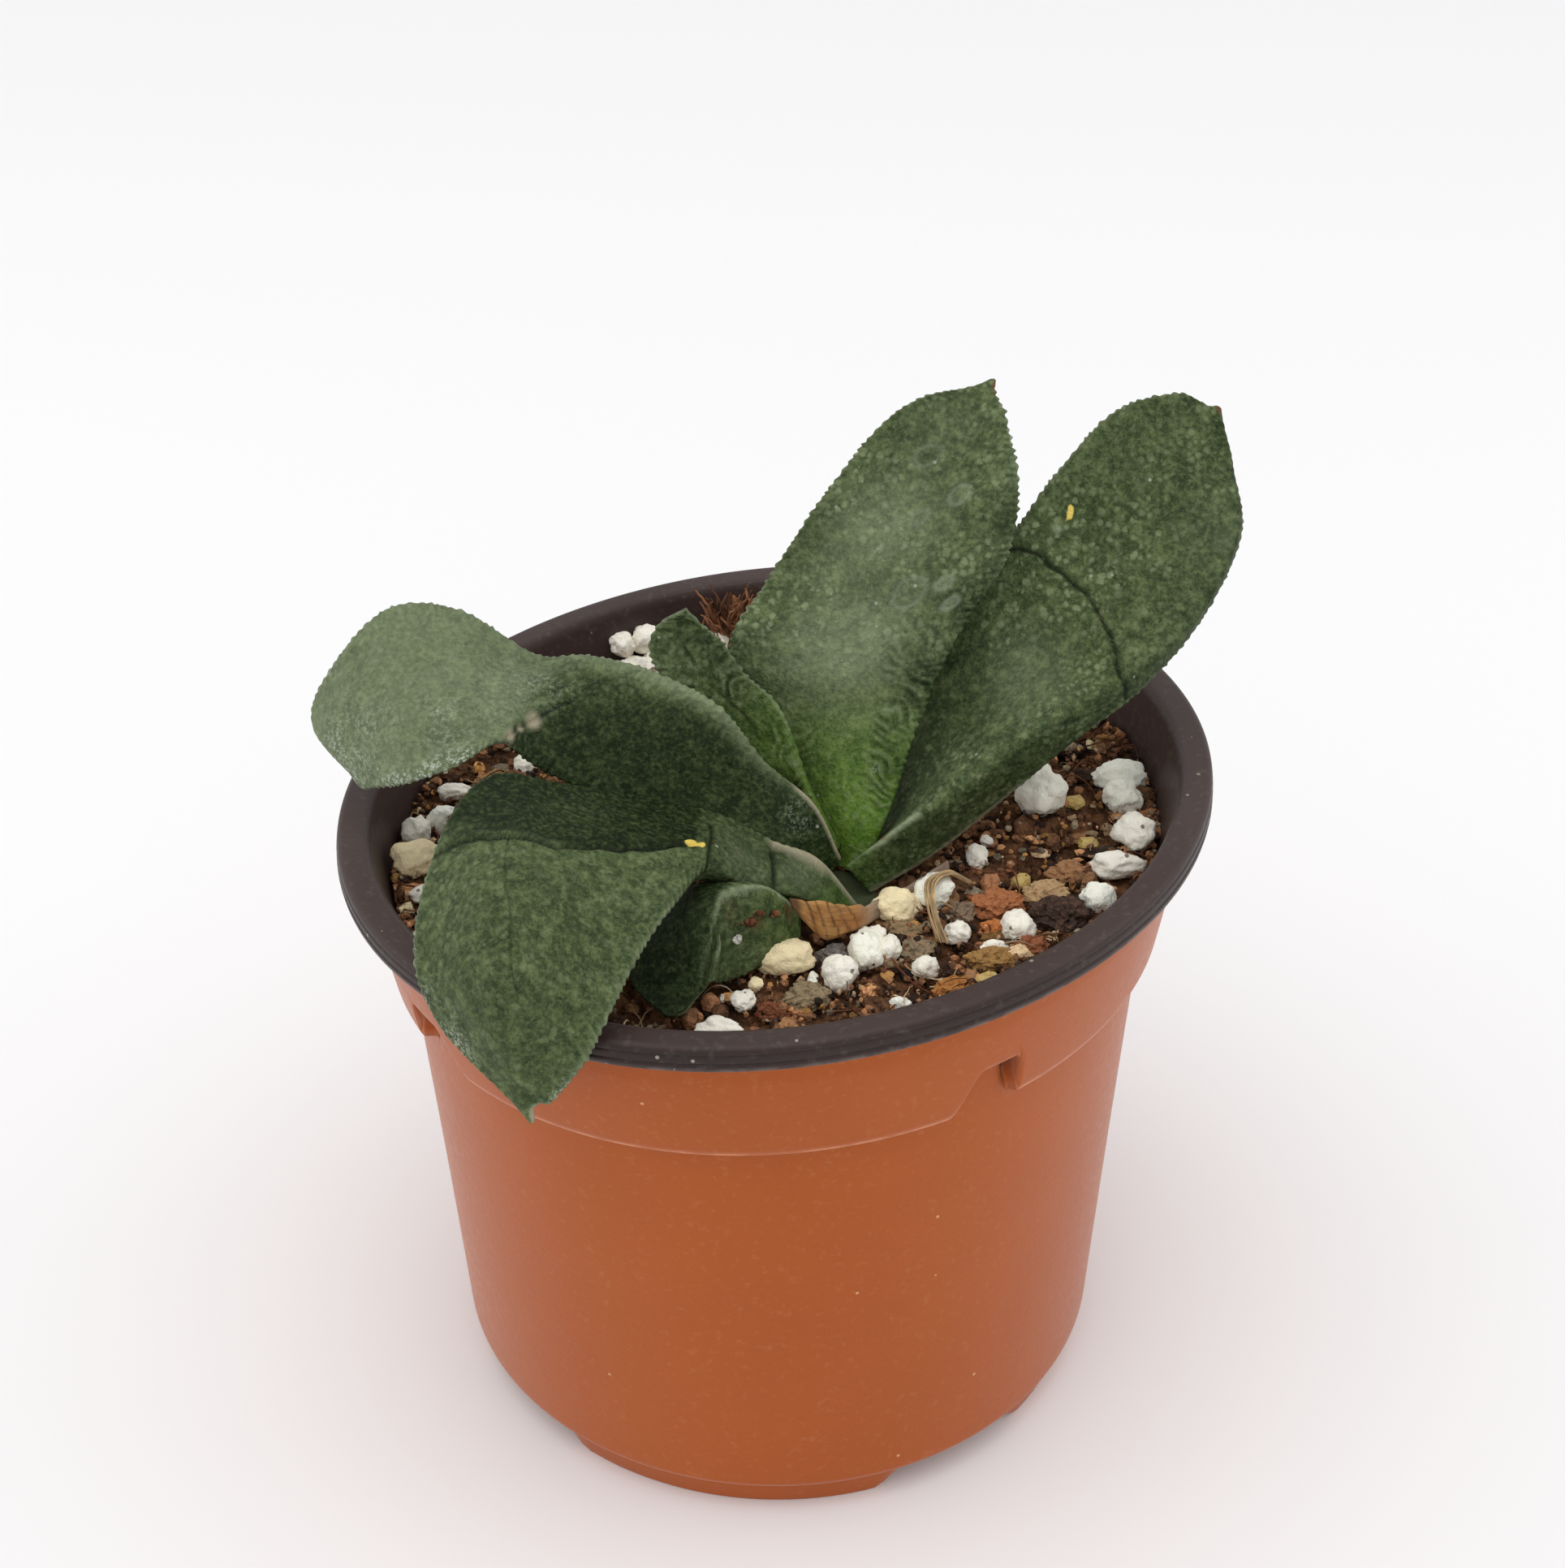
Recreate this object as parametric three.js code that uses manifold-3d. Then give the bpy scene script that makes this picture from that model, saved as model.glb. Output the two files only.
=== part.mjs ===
// A gasteria in its nursery pot, in millimetres, +Z up.
// The origin is on the resting plane, under the centre of the whole outline, less than 1 mm from the axis
// of the pot. +Y points to the back.

import * as THREE from 'three';
import { mergeVertices } from 'three/addons/utils/BufferGeometryUtils.js';
import Module from 'manifold-3d';

const wasm = await Module();
wasm.setup();

// ---------------------------------------------------------------- driving dimensions

const GAP = 0.3;
const SAME_HEIGHT = 0.01;

// Pot: a soft plastic shell that stands slightly out of round, more so towards its rim.
const RIM_HEIGHT = 85.5;
const LIP_RADIUS = 52.5;
const RIM_OUTER_RADIUS = 52;
const RIM_INNER_RADIUS = 48.3;
const LIP_HEIGHT = 82.6;
const SKIRT_HEIGHT = 78;
const BAND_RADIUS = 49.4;
const BAND_FOOT_RADIUS = 47.6;
const BAND_FOOT_HEIGHT = 65;
const BODY_TOP_RADIUS = 45.6;
const BODY_FOOT_RADIUS = 42.6;
const BODY_FOOT_HEIGHT = 5.2;
const FOOT_RADIUS = 40.4;
const FOOT_INNER_RADIUS = 37.6;
const FOOT_HEIGHT = 4;
const FLOOR_UNDERSIDE = 3.6;
const WALL = 1.2;
const POT_SIDES = 72;
const BODY_MIDDLE_RADIUS = 44;
const BODY_MIDDLE_HEIGHT = 35;
const CORNER_HEIGHT = 8;
const CORNER_RUN = 2;
const FOOT_FLARE = 0.5;
const BODY_FOOT_ROUND = 0.6;
const BAND_STEP = 0.6;
const LIP_UNDERCUT = 1.2;
const RIM_ROUND = 0.4;
const SLIGHT_DRAFT = 0.2;
const OVAL = 0.054;
const OVAL_DIRECTION = 0.485;
const RIM_TILT_X = 0.033;
const RIM_TILT_Y = 0.02;

// Lugs: the foot of the shoulder band steps up in four places.
const LUG_ANGLES = [-0.985, -2.55, 0.59, 2.16];
const LUG_FLAT_ANGLE = 0.05;
const LUG_END_ANGLE = 0.135;
const LUG_STEP = 6;

// Feet: four runs of the foot ring, with gaps between them.
const FOOT_COUNT = 4;
const FOOT_CENTRE = -1.75;
const FOOT_GAP_ANGLE = 0.6;
const FOOT_RAMP_ANGLE = 0.12;
const FOOT_GAP_HEIGHT = 3.2;

// Drain holes in the floor.
const DRAIN_RADIUS = 3.5;
const DRAIN_RING_RADIUS = 24;
const DRAIN_COUNT = 6;
const DRAIN_DEPTH = 6;
const DRAIN_SIDES = 12;

// Soil
const SOIL_HEIGHT = 77.2;
const SOIL_ROUGHNESS = 0.7;
const SOIL_SIDES = 36;
const SOIL_CLEARANCE = 0.5;
const SOIL_CORNER_RUN = 2.6;
const SOIL_RINGS = [36, 24, 12, 0];
const SOIL_FLOOR = FLOOR_UNDERSIDE + WALL + GAP;
const GRAIN_COUNT = 34;
const GRAIN_SEED = 11;
const GRAIN_SMALL = 1.6;
const GRAIN_LARGE = 3.4;
const GRAIN_REACH = 41;
const GRAIN_RISE = 0.15;

// Stem and roots
const STEM_PLACE = [7.5, -13.5];
const STEM_RADIUS = 5.2;
const STEM_TOP = 78.2;
const STEM_FOOT = 62;
const STEM_TAPER = 4;
const STEM_FOOT_SHARE = 0.6;
const STEM_SHOULDER = 1.2;
const STEM_SIDES = 16;
const STEM_GAP = 0.42;
const ROOT_COUNT = 4;
const ROOT_RADIUS = 1.6;
const ROOT_REACH = 20;
const ROOT_DROP = 34;
const ROOT_TURN = 0.6;

// Leaves
const LEAF_EDGE = 0.9;
const LEAF_ROWS = 36;
const LEAF_COLUMNS = 7;
const LEAF_FULLNESS = 2.4;
const TOOTH_HEIGHT = 0.35;
const SHEATH_ROWS = 24;
const SHEATH_COLUMNS = 2;
const CUT_CLEARANCE = 0.5;

// ---------------------------------------------------------------- leaf outlines
// Each station is a row of points across the leaf, from its far or left margin to its near or right one.
// The last station is the point of the leaf. "core" is the thickness at the middle, base to point.
// "back" is the side on which the thickness lies: 1 or -1.

const LEAVES = {
  leaf_front_drooping: {
    back: -1,
    core: [3.5, 5, 4.5, 3.2, 2.6, 1.2],
    stations: [
      [[10, -17, 78.6], [9.5, -19, 78.6], [9, -21, 78.6]],
      [[5, -16, 85], [4, -19, 84.5], [3, -22, 83.5]],
      [[-0.5, -15, 87], [-1.5, -20, 87.5], [-3, -24.5, 87]],
      [[-6.5, -14, 90], [-7.5, -22, 91.5], [-8, -27, 91.5]],
      [[-15, -14, 92.5], [-14.5, -26, 94], [-11.5, -34, 92]],
      [[-25, -16, 96], [-22, -32, 96.5], [-15, -41, 90.5]],
      [[-33.5, -18, 98.5], [-27.5, -38, 98], [-18, -48, 88]],
      [[-38.5, -28, 97], [-30, -47, 96], [-20.5, -51.5, 84.5]],
      [[-41, -39.5, 90], [-31.5, -50.5, 89.5], [-23, -52, 80.5]],
      [[-38, -45, 82.5], [-30.5, -51.5, 81.5], [-25, -52.5, 78]],
      [[-28, -52.3, 74.8], [-27.5, -52.5, 74.5], [-27, -52.5, 74.8]],
    ],
  },
  leaf_right: {
    back: 1,
    core: [3, 4.5, 5, 4.6, 4.2, 3.8, 3.2, 1.2],
    stations: [
      [[6.5, -6, 79.5], [9, -10, 79.2], [8, -14.6, 82.5], [10.8, -15, 79]],
      [[12.5, -3, 84.5], [14, -8, 84.5], [15, -13.5, 88], [18.5, -11, 81.5]],
      [[15.8, 3.6, 92.8], [19.5, -2.8, 91.7], [23, -10.5, 93], [26, -8, 86.5]],
      [[19.8, 8.4, 103.2], [27, 2.2, 98.8], [32, -6.5, 98.5], [35.5, -5, 94]],
      [[28, 12, 112.5], [35.5, 6.5, 106.5], [41.5, -2, 102.5], [44, -1.5, 99.5]],
      [[34, 15.5, 120], [42, 10.5, 113.5], [49.5, 3.5, 107.5], [51.5, 4, 106]],
      [[41, 19, 126.5], [48.5, 15.5, 121], [55, 10, 115.5], [56.5, 10.5, 114]],
      [[48.5, 21, 128], [52, 19.5, 124.5], [55, 17, 121], [56, 17, 119.5]],
      [[53.5, 21, 126.5], [54, 21, 126.2], [54.3, 20.8, 126], [54.5, 20.6, 125.6]],
    ],
  },
  leaf_left_recurved: {
    back: -1,
    core: [3, 4, 4.4, 4.4, 4, 3.6, 3.4, 3, 2.4, 1.2],
    stations: [
      [[8, -12.5, 82], [6, -14, 80], [4.5, -16, 79.2]],
      [[4.5, -10.5, 89], [1.5, -12.5, 86.5], [-1, -15.5, 85]],
      [[-1.5, -8, 93.5], [-5.5, -10, 90.5], [-8.5, -13.5, 87]],
      [[-7, -5, 99.5], [-13, -8, 96], [-17, -12.5, 89.5]],
      [[-15.5, -1.5, 102.5], [-20.5, -5.5, 99], [-24.5, -11, 92]],
      [[-23, 2, 102.5], [-26.5, -4, 100.5], [-29.5, -11, 95.5]],
      [[-29.5, 4, 101.5], [-31.5, -4.5, 101.5], [-32.5, -13, 100]],
      [[-38.5, 6, 106.5], [-38.5, -5, 103], [-37.5, -16, 98.5]],
      [[-47, 5, 107.5], [-46, -6, 102.5], [-43.5, -16, 96]],
      [[-54, 3, 101], [-52.5, -6, 98], [-47.5, -12, 92.5]],
      [[-57, -1, 94.5], [-54.5, -6, 94], [-50, -9, 90]],
      [[-50.4, -7.8, 89.6], [-50, -8, 89.5], [-49.6, -8.3, 89.5]],
    ],
  },
  leaf_upright: {
    back: 1,
    core: [3.5, 4.5, 5, 4.5, 4, 3.4, 2.8, 1.2],
    stations: [
      [[5.5, -7, 78.6], [8.5, -10.5, 78.8], [10.5, -11.5, 80]],
      [[1.5, -3, 84.5], [8, -8.5, 86.5], [13.5, -10, 88.5]],
      [[-3.5, 2, 93.5], [8, -2.5, 96], [17, -5, 97.5]],
      [[-6, 5, 102], [9.5, 3, 104], [21.5, 0, 106]],
      [[-1.5, 9, 108.5], [13.5, 9, 112], [27.5, 5, 114.5]],
      [[6.5, 13.5, 119.5], [18, 15, 119.5], [29, 10.5, 121]],
      [[15, 19, 127], [22, 19.5, 125.5], [28, 17, 125.5]],
      [[26, 22, 129.5], [26.5, 22, 129.4], [26.9, 22, 129.2]],
    ],
  },
  leaf_young: {
    back: 1,
    core: [2, 2.4, 2.2, 2, 1.6, 1],
    stations: [
      [[5, -10, 80], [6.5, -10, 81], [7.5, -11, 82]],
      [[-1, -6.5, 87], [1.5, -7, 88.5], [4, -9.5, 89]],
      [[-7, -3.5, 93], [-3, -3.5, 95], [0.5, -4.5, 98]],
      [[-13, -1.5, 99.5], [-8.5, -0.5, 100.5], [-4, -1, 101.5]],
      [[-15.5, 0.5, 103.5], [-11, 1.5, 104], [-6.5, 1, 104.5]],
      [[-14.5, 1.5, 106.3], [-11.5, 2, 106.6], [-9, 2, 106.3]],
      [[-11.5, 2, 108.3], [-11, 2, 108.5], [-10.5, 2, 108.3]],
    ],
  },
  leaf_low_small: {
    back: -1,
    core: [2, 2.4, 2.6, 2.4, 2, 1],
    stations: [
      [[4, -18, 80], [3.5, -20, 80.5], [2.5, -23, 81], [3, -24, 78.8]],
      [[-0.5, -18, 82], [-1, -22, 85], [-1, -26.5, 87.5], [-0.5, -28, 79]],
      [[-5, -19, 84], [-5.5, -24, 87.5], [-5.5, -29, 89], [-4, -31, 79]],
      [[-10.5, -21, 84.5], [-9.5, -27, 88.5], [-7.5, -32, 88], [-7, -33.5, 80]],
      [[-15, -24, 84.5], [-13, -30, 85.5], [-8.5, -34, 85.5], [-8, -35.5, 81.5]],
      [[-18, -28, 81], [-14.5, -33, 82], [-9.5, -35.5, 82], [-9, -36, 80.5]],
      [[-17, -33, 79], [-13.5, -35.5, 79.5], [-10.8, -37, 79.6], [-10.5, -37, 79.2]],
      [[-13, -38, 78.6], [-12.7, -38.1, 78.5], [-12.3, -38.1, 78.5], [-12, -38, 78.4]],
    ],
  },
};

// The dried sheath stands round the front of the rosette, from its left end to its right one: a broad
// scrap under the drooping leaf, then a narrow strip along the foot of the right leaf.
const SHEATH = {
  back: 1,
  core: [0.9, 1, 1, 0.9],
  stations: [
    [[1.5, -25.2, 84.4], [1, -24.6, 85.8]],
    [[3.2, -25.2, 82.2], [2.8, -24.4, 85.6]],
    [[5.4, -24.8, 79.6], [5, -24, 85]],
    [[7.9, -23.6, 79.6], [7.6, -22.8, 83.5]],
    [[10.2, -21.4, 79], [10, -20.8, 81.6]],
    [[12.5, -17.8, 78], [12.3, -17.2, 80.4]],
    [[15.1, -15.8, 78.4], [14.9, -15.3, 80.4]],
    [[18.4, -13.4, 79.2], [18.2, -13, 80.8]],
    [[20.7, -11.8, 80.2], [20.5, -11.4, 81.8]],
  ],
};

// ---------------------------------------------------------------- solids

function geometryOf(positions, indices) {
  const geometry = new THREE.BufferGeometry();
  geometry.setAttribute('position', new THREE.Float32BufferAttribute(positions, 3));
  geometry.setIndex(indices);
  return geometry;
}

function weld(geometry) {
  const bare = geometry.clone();
  bare.deleteAttribute('normal');
  bare.deleteAttribute('uv');
  return mergeVertices(bare, 1e-4);
}

function solidOf(geometry) {
  const welded = weld(geometry);
  const vertProperties = new Float32Array(welded.attributes.position.array);
  const triVerts = new Uint32Array(welded.index.array);
  return new wasm.Manifold(new wasm.Mesh({ numProp: 3, vertProperties, triVerts }));
}

function meshOf(solid) {
  const { vertProperties, triVerts } = solid.getMesh();
  return geometryOf(Array.from(vertProperties), Array.from(triVerts));
}

// Keeps the largest connected body of a geometry, so that a cut leaves no loose sliver behind.
function largestBody(geometry) {
  const index = geometry.index.array;
  const parent = Array.from({ length: geometry.attributes.position.count }, (_, i) => i);
  const rootOf = (i) => {
    let root = i;
    while (parent[root] !== root) root = parent[root];
    return root;
  };
  for (let i = 0; i < index.length; i += 3) {
    const root = rootOf(index[i]);
    parent[rootOf(index[i + 1])] = root;
    parent[rootOf(index[i + 2])] = root;
  }
  const sizes = new Map();
  for (const vertex of index) {
    const root = rootOf(vertex);
    sizes.set(root, (sizes.get(root) ?? 0) + 1);
  }
  const [largest] = [...sizes.entries()].sort((a, b) => b[1] - a[1])[0];
  const kept = [];
  for (let i = 0; i < index.length; i += 3) {
    if (rootOf(index[i]) === largest) kept.push(index[i], index[i + 1], index[i + 2]);
  }
  geometry.setIndex(kept);
  return geometry;
}

// Joins two grids of points, one on each face of a blade, into one closed body.
// Both faces are split into the same triangles.
function closedBlade(front, back) {
  const rows = front.length;
  const columns = front[0].length;
  const points = [...front.flat(), ...back.flat()];
  const positions = points.flatMap((point) => point.toArray());
  const id = (face, row, column) => face * rows * columns + row * columns + column;
  const indices = [];
  const quad = (a, b, c, d) => indices.push(a, b, c, a, c, d);
  for (let r = 0; r < rows - 1; r += 1) {
    for (let c = 0; c < columns - 1; c += 1) {
      quad(id(0, r, c), id(0, r, c + 1), id(0, r + 1, c + 1), id(0, r + 1, c));
      const [a, b, d, e] = [id(1, r, c), id(1, r, c + 1), id(1, r + 1, c + 1), id(1, r + 1, c)];
      indices.push(a, d, b, a, e, d);
    }
    quad(id(0, r + 1, 0), id(1, r + 1, 0), id(1, r, 0), id(0, r, 0));
    const last = columns - 1;
    quad(id(0, r, last), id(1, r, last), id(1, r + 1, last), id(0, r + 1, last));
  }
  for (let c = 0; c < columns - 1; c += 1) {
    quad(id(0, 0, c), id(1, 0, c), id(1, 0, c + 1), id(0, 0, c + 1));
    const end = rows - 1;
    quad(id(0, end, c + 1), id(1, end, c + 1), id(1, end, c), id(0, end, c));
  }
  return geometryOf(positions, indices);
}

// ---------------------------------------------------------------- leaves

function curveThrough(points) {
  return new THREE.CatmullRomCurve3(points, false, 'catmullrom', 0.5);
}

// The face of a leaf: a function of how far along (0 base, 1 point) and how far across (0 to 1).
function faceOf(stations) {
  const rails = stations[0].map((_, column) =>
    curveThrough(stations.map((row) => new THREE.Vector3(...row[column]))));
  return (along, across) => curveThrough(rails.map((rail) => rail.getPoint(along))).getPoint(across);
}

function coreAt(core, along) {
  const place = along * (core.length - 1);
  const index = Math.min(Math.floor(place), core.length - 2);
  return THREE.MathUtils.lerp(core[index], core[index + 1], place - index);
}

// Builds a leaf. "grow" swells it on every side, for the space that its neighbours keep free.
function bladeGeometry(spec, rows, columns, tooth, grow = 0) {
  const face = faceOf(spec.stations);
  const step = 0.004;
  const front = [];
  const back = [];
  for (let r = 0; r <= rows; r += 1) {
    const along = r / rows;
    const ahead = face(Math.min(along + step, 1), 0.5);
    const alongStep = ahead.sub(face(Math.max(along - step, 0), 0.5)).normalize();
    const chord = face(along, 1).sub(face(along, 0));
    const normal = alongStep.clone().cross(chord).normalize().multiplyScalar(spec.back);
    const frontRow = [];
    const backRow = [];
    for (let c = 0; c <= columns; c += 1) {
      const across = c / columns;
      const point = face(along, across);
      const acrossStep = face(along, Math.min(across + step, 1)).sub(face(along, Math.max(across - step, 0)));
      const side = Math.abs(2 * across - 1);
      const bulge = 1 - side ** LEAF_FULLNESS;
      const depth = LEAF_EDGE + (coreAt(spec.core, along) - LEAF_EDGE) * bulge;
      if (c === 0 || c === columns) {
        const outward = acrossStep.normalize().multiplyScalar(c === 0 ? -1 : 1);
        point.addScaledVector(outward, grow + (r % 2 === 1 ? tooth : 0));
      }
      if (r === 0 || r === rows) {
        point.addScaledVector(alongStep, r === 0 ? -grow : grow);
      }
      frontRow.push(point.clone().addScaledVector(normal, -grow));
      backRow.push(point.clone().addScaledVector(normal, depth + grow));
    }
    front.push(frontRow);
    back.push(backRow);
  }
  const blade = closedBlade(front, back);
  if (spec.back < 0) {
    blade.setIndex(Array.from(blade.index.array).reverse());
  }
  return blade;
}

// ---------------------------------------------------------------- pot

// Presses a round body out of round, more so towards the rim, and tilts its rim.
function pressOval(geometry) {
  const place = geometry.attributes.position;
  for (let i = 0; i < place.count; i += 1) {
    const x = place.getX(i);
    const y = place.getY(i);
    const z = place.getZ(i);
    const rise = z / RIM_HEIGHT;
    const scale = 1 + OVAL * rise * Math.cos(2 * (Math.atan2(y, x) - OVAL_DIRECTION));
    place.setXYZ(i, x * scale, y * scale, z + (RIM_TILT_X * x + RIM_TILT_Y * y) * rise ** 2);
  }
  return geometry;
}

function angleBetween(a, b) {
  return Math.abs(Math.atan2(Math.sin(a - b), Math.cos(a - b)));
}

// How far the foot of the shoulder band is raised at an angle round the pot.
function lugRise(angle) {
  const nearest = Math.min(...LUG_ANGLES.map((lug) => angleBetween(angle, lug)));
  return LUG_STEP * (1 - THREE.MathUtils.smoothstep(nearest, LUG_FLAT_ANGLE, LUG_END_ANGLE));
}

// How far the foot ring is raised at an angle round the pot: 0 on a foot, 1 in a gap.
function footGap(angle) {
  const pitch = 2 * Math.PI / FOOT_COUNT;
  const gaps = Array.from({ length: FOOT_COUNT }, (_, i) => FOOT_CENTRE + (i + 0.5) * pitch);
  const nearest = Math.min(...gaps.map((gap) => angleBetween(angle, gap)));
  const edge = FOOT_GAP_ANGLE / 2;
  return 1 - THREE.MathUtils.smoothstep(nearest, edge - FOOT_RAMP_ANGLE, edge);
}

function lathe(profile, sides) {
  const points = profile.map(([radius, height]) => new THREE.Vector2(radius, height));
  return weld(new THREE.LatheGeometry(points, sides).rotateX(Math.PI / 2));
}

function innerRadiusAt(height) {
  const rise = (height - BODY_FOOT_HEIGHT) / (BAND_FOOT_HEIGHT - BODY_FOOT_HEIGHT);
  const body = THREE.MathUtils.lerp(BODY_FOOT_RADIUS, BODY_TOP_RADIUS, Math.min(rise, 1)) - WALL;
  const over = Math.max(height - BAND_FOOT_HEIGHT, 0) / (RIM_HEIGHT - BAND_FOOT_HEIGHT);
  return THREE.MathUtils.lerp(body, RIM_INNER_RADIUS, over);
}

function potGeometry() {
  const floorTop = FLOOR_UNDERSIDE + WALL;
  const profile = [
    [0, FLOOR_UNDERSIDE],
    [FOOT_INNER_RADIUS, FLOOR_UNDERSIDE],
    [FOOT_INNER_RADIUS + SLIGHT_DRAFT, 0],
    [FOOT_RADIUS, 0],
    [FOOT_RADIUS + FOOT_FLARE, FOOT_HEIGHT],
    [BODY_FOOT_RADIUS - BODY_FOOT_ROUND, FOOT_HEIGHT + RIM_ROUND],
    [BODY_FOOT_RADIUS, BODY_FOOT_HEIGHT],
    [BODY_MIDDLE_RADIUS, BODY_MIDDLE_HEIGHT],
    [BODY_TOP_RADIUS, BAND_FOOT_HEIGHT - BAND_STEP],
    [BAND_FOOT_RADIUS, BAND_FOOT_HEIGHT],
    [BAND_FOOT_RADIUS + SLIGHT_DRAFT, BAND_FOOT_HEIGHT + BAND_STEP],
    [BAND_RADIUS, SKIRT_HEIGHT],
    [BAND_RADIUS + BAND_STEP, LIP_HEIGHT - LIP_UNDERCUT],
    [LIP_RADIUS, LIP_HEIGHT - BAND_STEP],
    [LIP_RADIUS, LIP_HEIGHT + BAND_STEP],
    [RIM_OUTER_RADIUS + RIM_ROUND, RIM_HEIGHT - RIM_ROUND],
    [RIM_OUTER_RADIUS - SLIGHT_DRAFT, RIM_HEIGHT],
    [RIM_INNER_RADIUS, RIM_HEIGHT],
    [innerRadiusAt(SKIRT_HEIGHT), SKIRT_HEIGHT],
    [innerRadiusAt(BAND_FOOT_HEIGHT), BAND_FOOT_HEIGHT],
    [innerRadiusAt(BODY_MIDDLE_HEIGHT), BODY_MIDDLE_HEIGHT],
    [innerRadiusAt(CORNER_HEIGHT), CORNER_HEIGHT],
    [innerRadiusAt(CORNER_HEIGHT) - CORNER_RUN, floorTop],
    [0, floorTop],
  ];
  const shell = lathe(profile, POT_SIDES);
  const place = shell.attributes.position;
  for (let i = 0; i < place.count; i += 1) {
    const x = place.getX(i);
    const y = place.getY(i);
    const z = place.getZ(i);
    const angle = Math.atan2(y, x);
    const outside = Math.hypot(x, y) > innerRadiusAt(z) + WALL * 0.5;
    if (outside && Math.abs(z - BAND_FOOT_HEIGHT) <= BAND_STEP + SAME_HEIGHT) {
      place.setZ(i, z + lugRise(angle));
    }
    if (z < SAME_HEIGHT) {
      place.setZ(i, FOOT_GAP_HEIGHT * footGap(angle));
    }
  }
  let solid = solidOf(pressOval(shell));
  const bore = new THREE.CylinderGeometry(DRAIN_RADIUS, DRAIN_RADIUS, DRAIN_DEPTH, DRAIN_SIDES);
  const drain = bore.rotateX(Math.PI / 2);
  const drainHeight = FLOOR_UNDERSIDE + WALL / 2;
  solid = solid.subtract(solidOf(drain.clone().translate(0, 0, drainHeight)));
  for (let i = 0; i < DRAIN_COUNT; i += 1) {
    const angle = (i / DRAIN_COUNT) * 2 * Math.PI;
    const x = DRAIN_RING_RADIUS * Math.cos(angle);
    const y = DRAIN_RING_RADIUS * Math.sin(angle);
    solid = solid.subtract(solidOf(drain.clone().translate(x, y, drainHeight)));
  }
  return meshOf(solid);
}

// ---------------------------------------------------------------- stem and roots

function rootPath(index, grow) {
  const angle = (index / ROOT_COUNT) * 2 * Math.PI + ROOT_TURN;
  const [x, y] = STEM_PLACE;
  const at = (reach, height) => new THREE.Vector3(
    x + reach * Math.cos(angle), y + reach * Math.sin(angle), height);
  return new THREE.CatmullRomCurve3([
    at(STEM_RADIUS * 0.4, STEM_FOOT + 5),
    at(ROOT_REACH * 0.5, STEM_FOOT - 3),
    at(ROOT_REACH * 0.85, STEM_FOOT - ROOT_DROP * 0.5),
    at(ROOT_REACH, STEM_FOOT - ROOT_DROP - grow),
  ]);
}

function stemSolid(grow) {
  const profile = [
    [0, STEM_FOOT - grow],
    [STEM_RADIUS * STEM_FOOT_SHARE + grow, STEM_FOOT - grow],
    [STEM_RADIUS + grow, STEM_FOOT + STEM_TAPER],
    [STEM_RADIUS + grow, STEM_TOP - 1],
    [STEM_RADIUS - STEM_SHOULDER + grow, STEM_TOP + grow],
    [0, STEM_TOP + grow],
  ];
  let solid = solidOf(lathe(profile, STEM_SIDES).translate(STEM_PLACE[0], STEM_PLACE[1], 0));
  for (let i = 0; i < ROOT_COUNT; i += 1) {
    const section = new THREE.Shape();
    section.absarc(0, 0, ROOT_RADIUS + grow, 0, 2 * Math.PI);
    const options = { steps: 7, curveSegments: 3, bevelEnabled: false, extrudePath: rootPath(i, 2 * grow) };
    solid = solid.add(solidOf(new THREE.ExtrudeGeometry(section, options)));
  }
  return solid;
}

// ---------------------------------------------------------------- soil

function seededRandom(seed) {
  let state = seed;
  return () => {
    state = (state * 1664525 + 1013904223) % 4294967296;
    return state / 4294967296;
  };
}

function soilTop(x, y) {
  const swell = Math.sin(0.21 * x + 1.1) * Math.cos(0.17 * y - 0.4) + 0.6 * Math.sin(0.43 * x - 0.31 * y);
  return SOIL_HEIGHT + SOIL_ROUGHNESS * swell;
}

function soilSolid() {
  const radiusAt = (height) => innerRadiusAt(height) - SOIL_CLEARANCE;
  const profile = [
    [0, SOIL_FLOOR],
    [radiusAt(CORNER_HEIGHT) - SOIL_CORNER_RUN, SOIL_FLOOR],
    [radiusAt(CORNER_HEIGHT), CORNER_HEIGHT],
    [radiusAt(BODY_MIDDLE_HEIGHT), BODY_MIDDLE_HEIGHT],
    [radiusAt(BAND_FOOT_HEIGHT), BAND_FOOT_HEIGHT],
    [radiusAt(SOIL_HEIGHT - 2), SOIL_HEIGHT - 2],
    [radiusAt(SOIL_HEIGHT), SOIL_HEIGHT],
    ...SOIL_RINGS.map((radius) => [radius, SOIL_HEIGHT]),
  ];
  const body = lathe(profile, SOIL_SIDES);
  const place = body.attributes.position;
  for (let i = 0; i < place.count; i += 1) {
    if (place.getZ(i) > SOIL_HEIGHT - SAME_HEIGHT) {
      place.setZ(i, soilTop(place.getX(i), place.getY(i)));
    }
  }
  let solid = solidOf(pressOval(body));
  const random = seededRandom(GRAIN_SEED);
  for (let i = 0; i < GRAIN_COUNT; i += 1) {
    const angle = random() * 2 * Math.PI;
    const reach = GRAIN_REACH * Math.sqrt(random());
    const size = THREE.MathUtils.lerp(GRAIN_SMALL, GRAIN_LARGE, random() ** 1.5);
    const x = reach * Math.cos(angle);
    const y = reach * Math.sin(angle);
    const grain = new THREE.IcosahedronGeometry(size, 0);
    grain.scale(1, 0.7 + 0.3 * random(), 0.6 + 0.3 * random());
    grain.rotateX(random() * 3).rotateZ(random() * 3);
    grain.translate(x, y, soilTop(x, y) + RIM_TILT_X * x + RIM_TILT_Y * y + size * GRAIN_RISE);
    solid = solid.add(solidOf(grain));
  }
  return solid;
}

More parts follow.
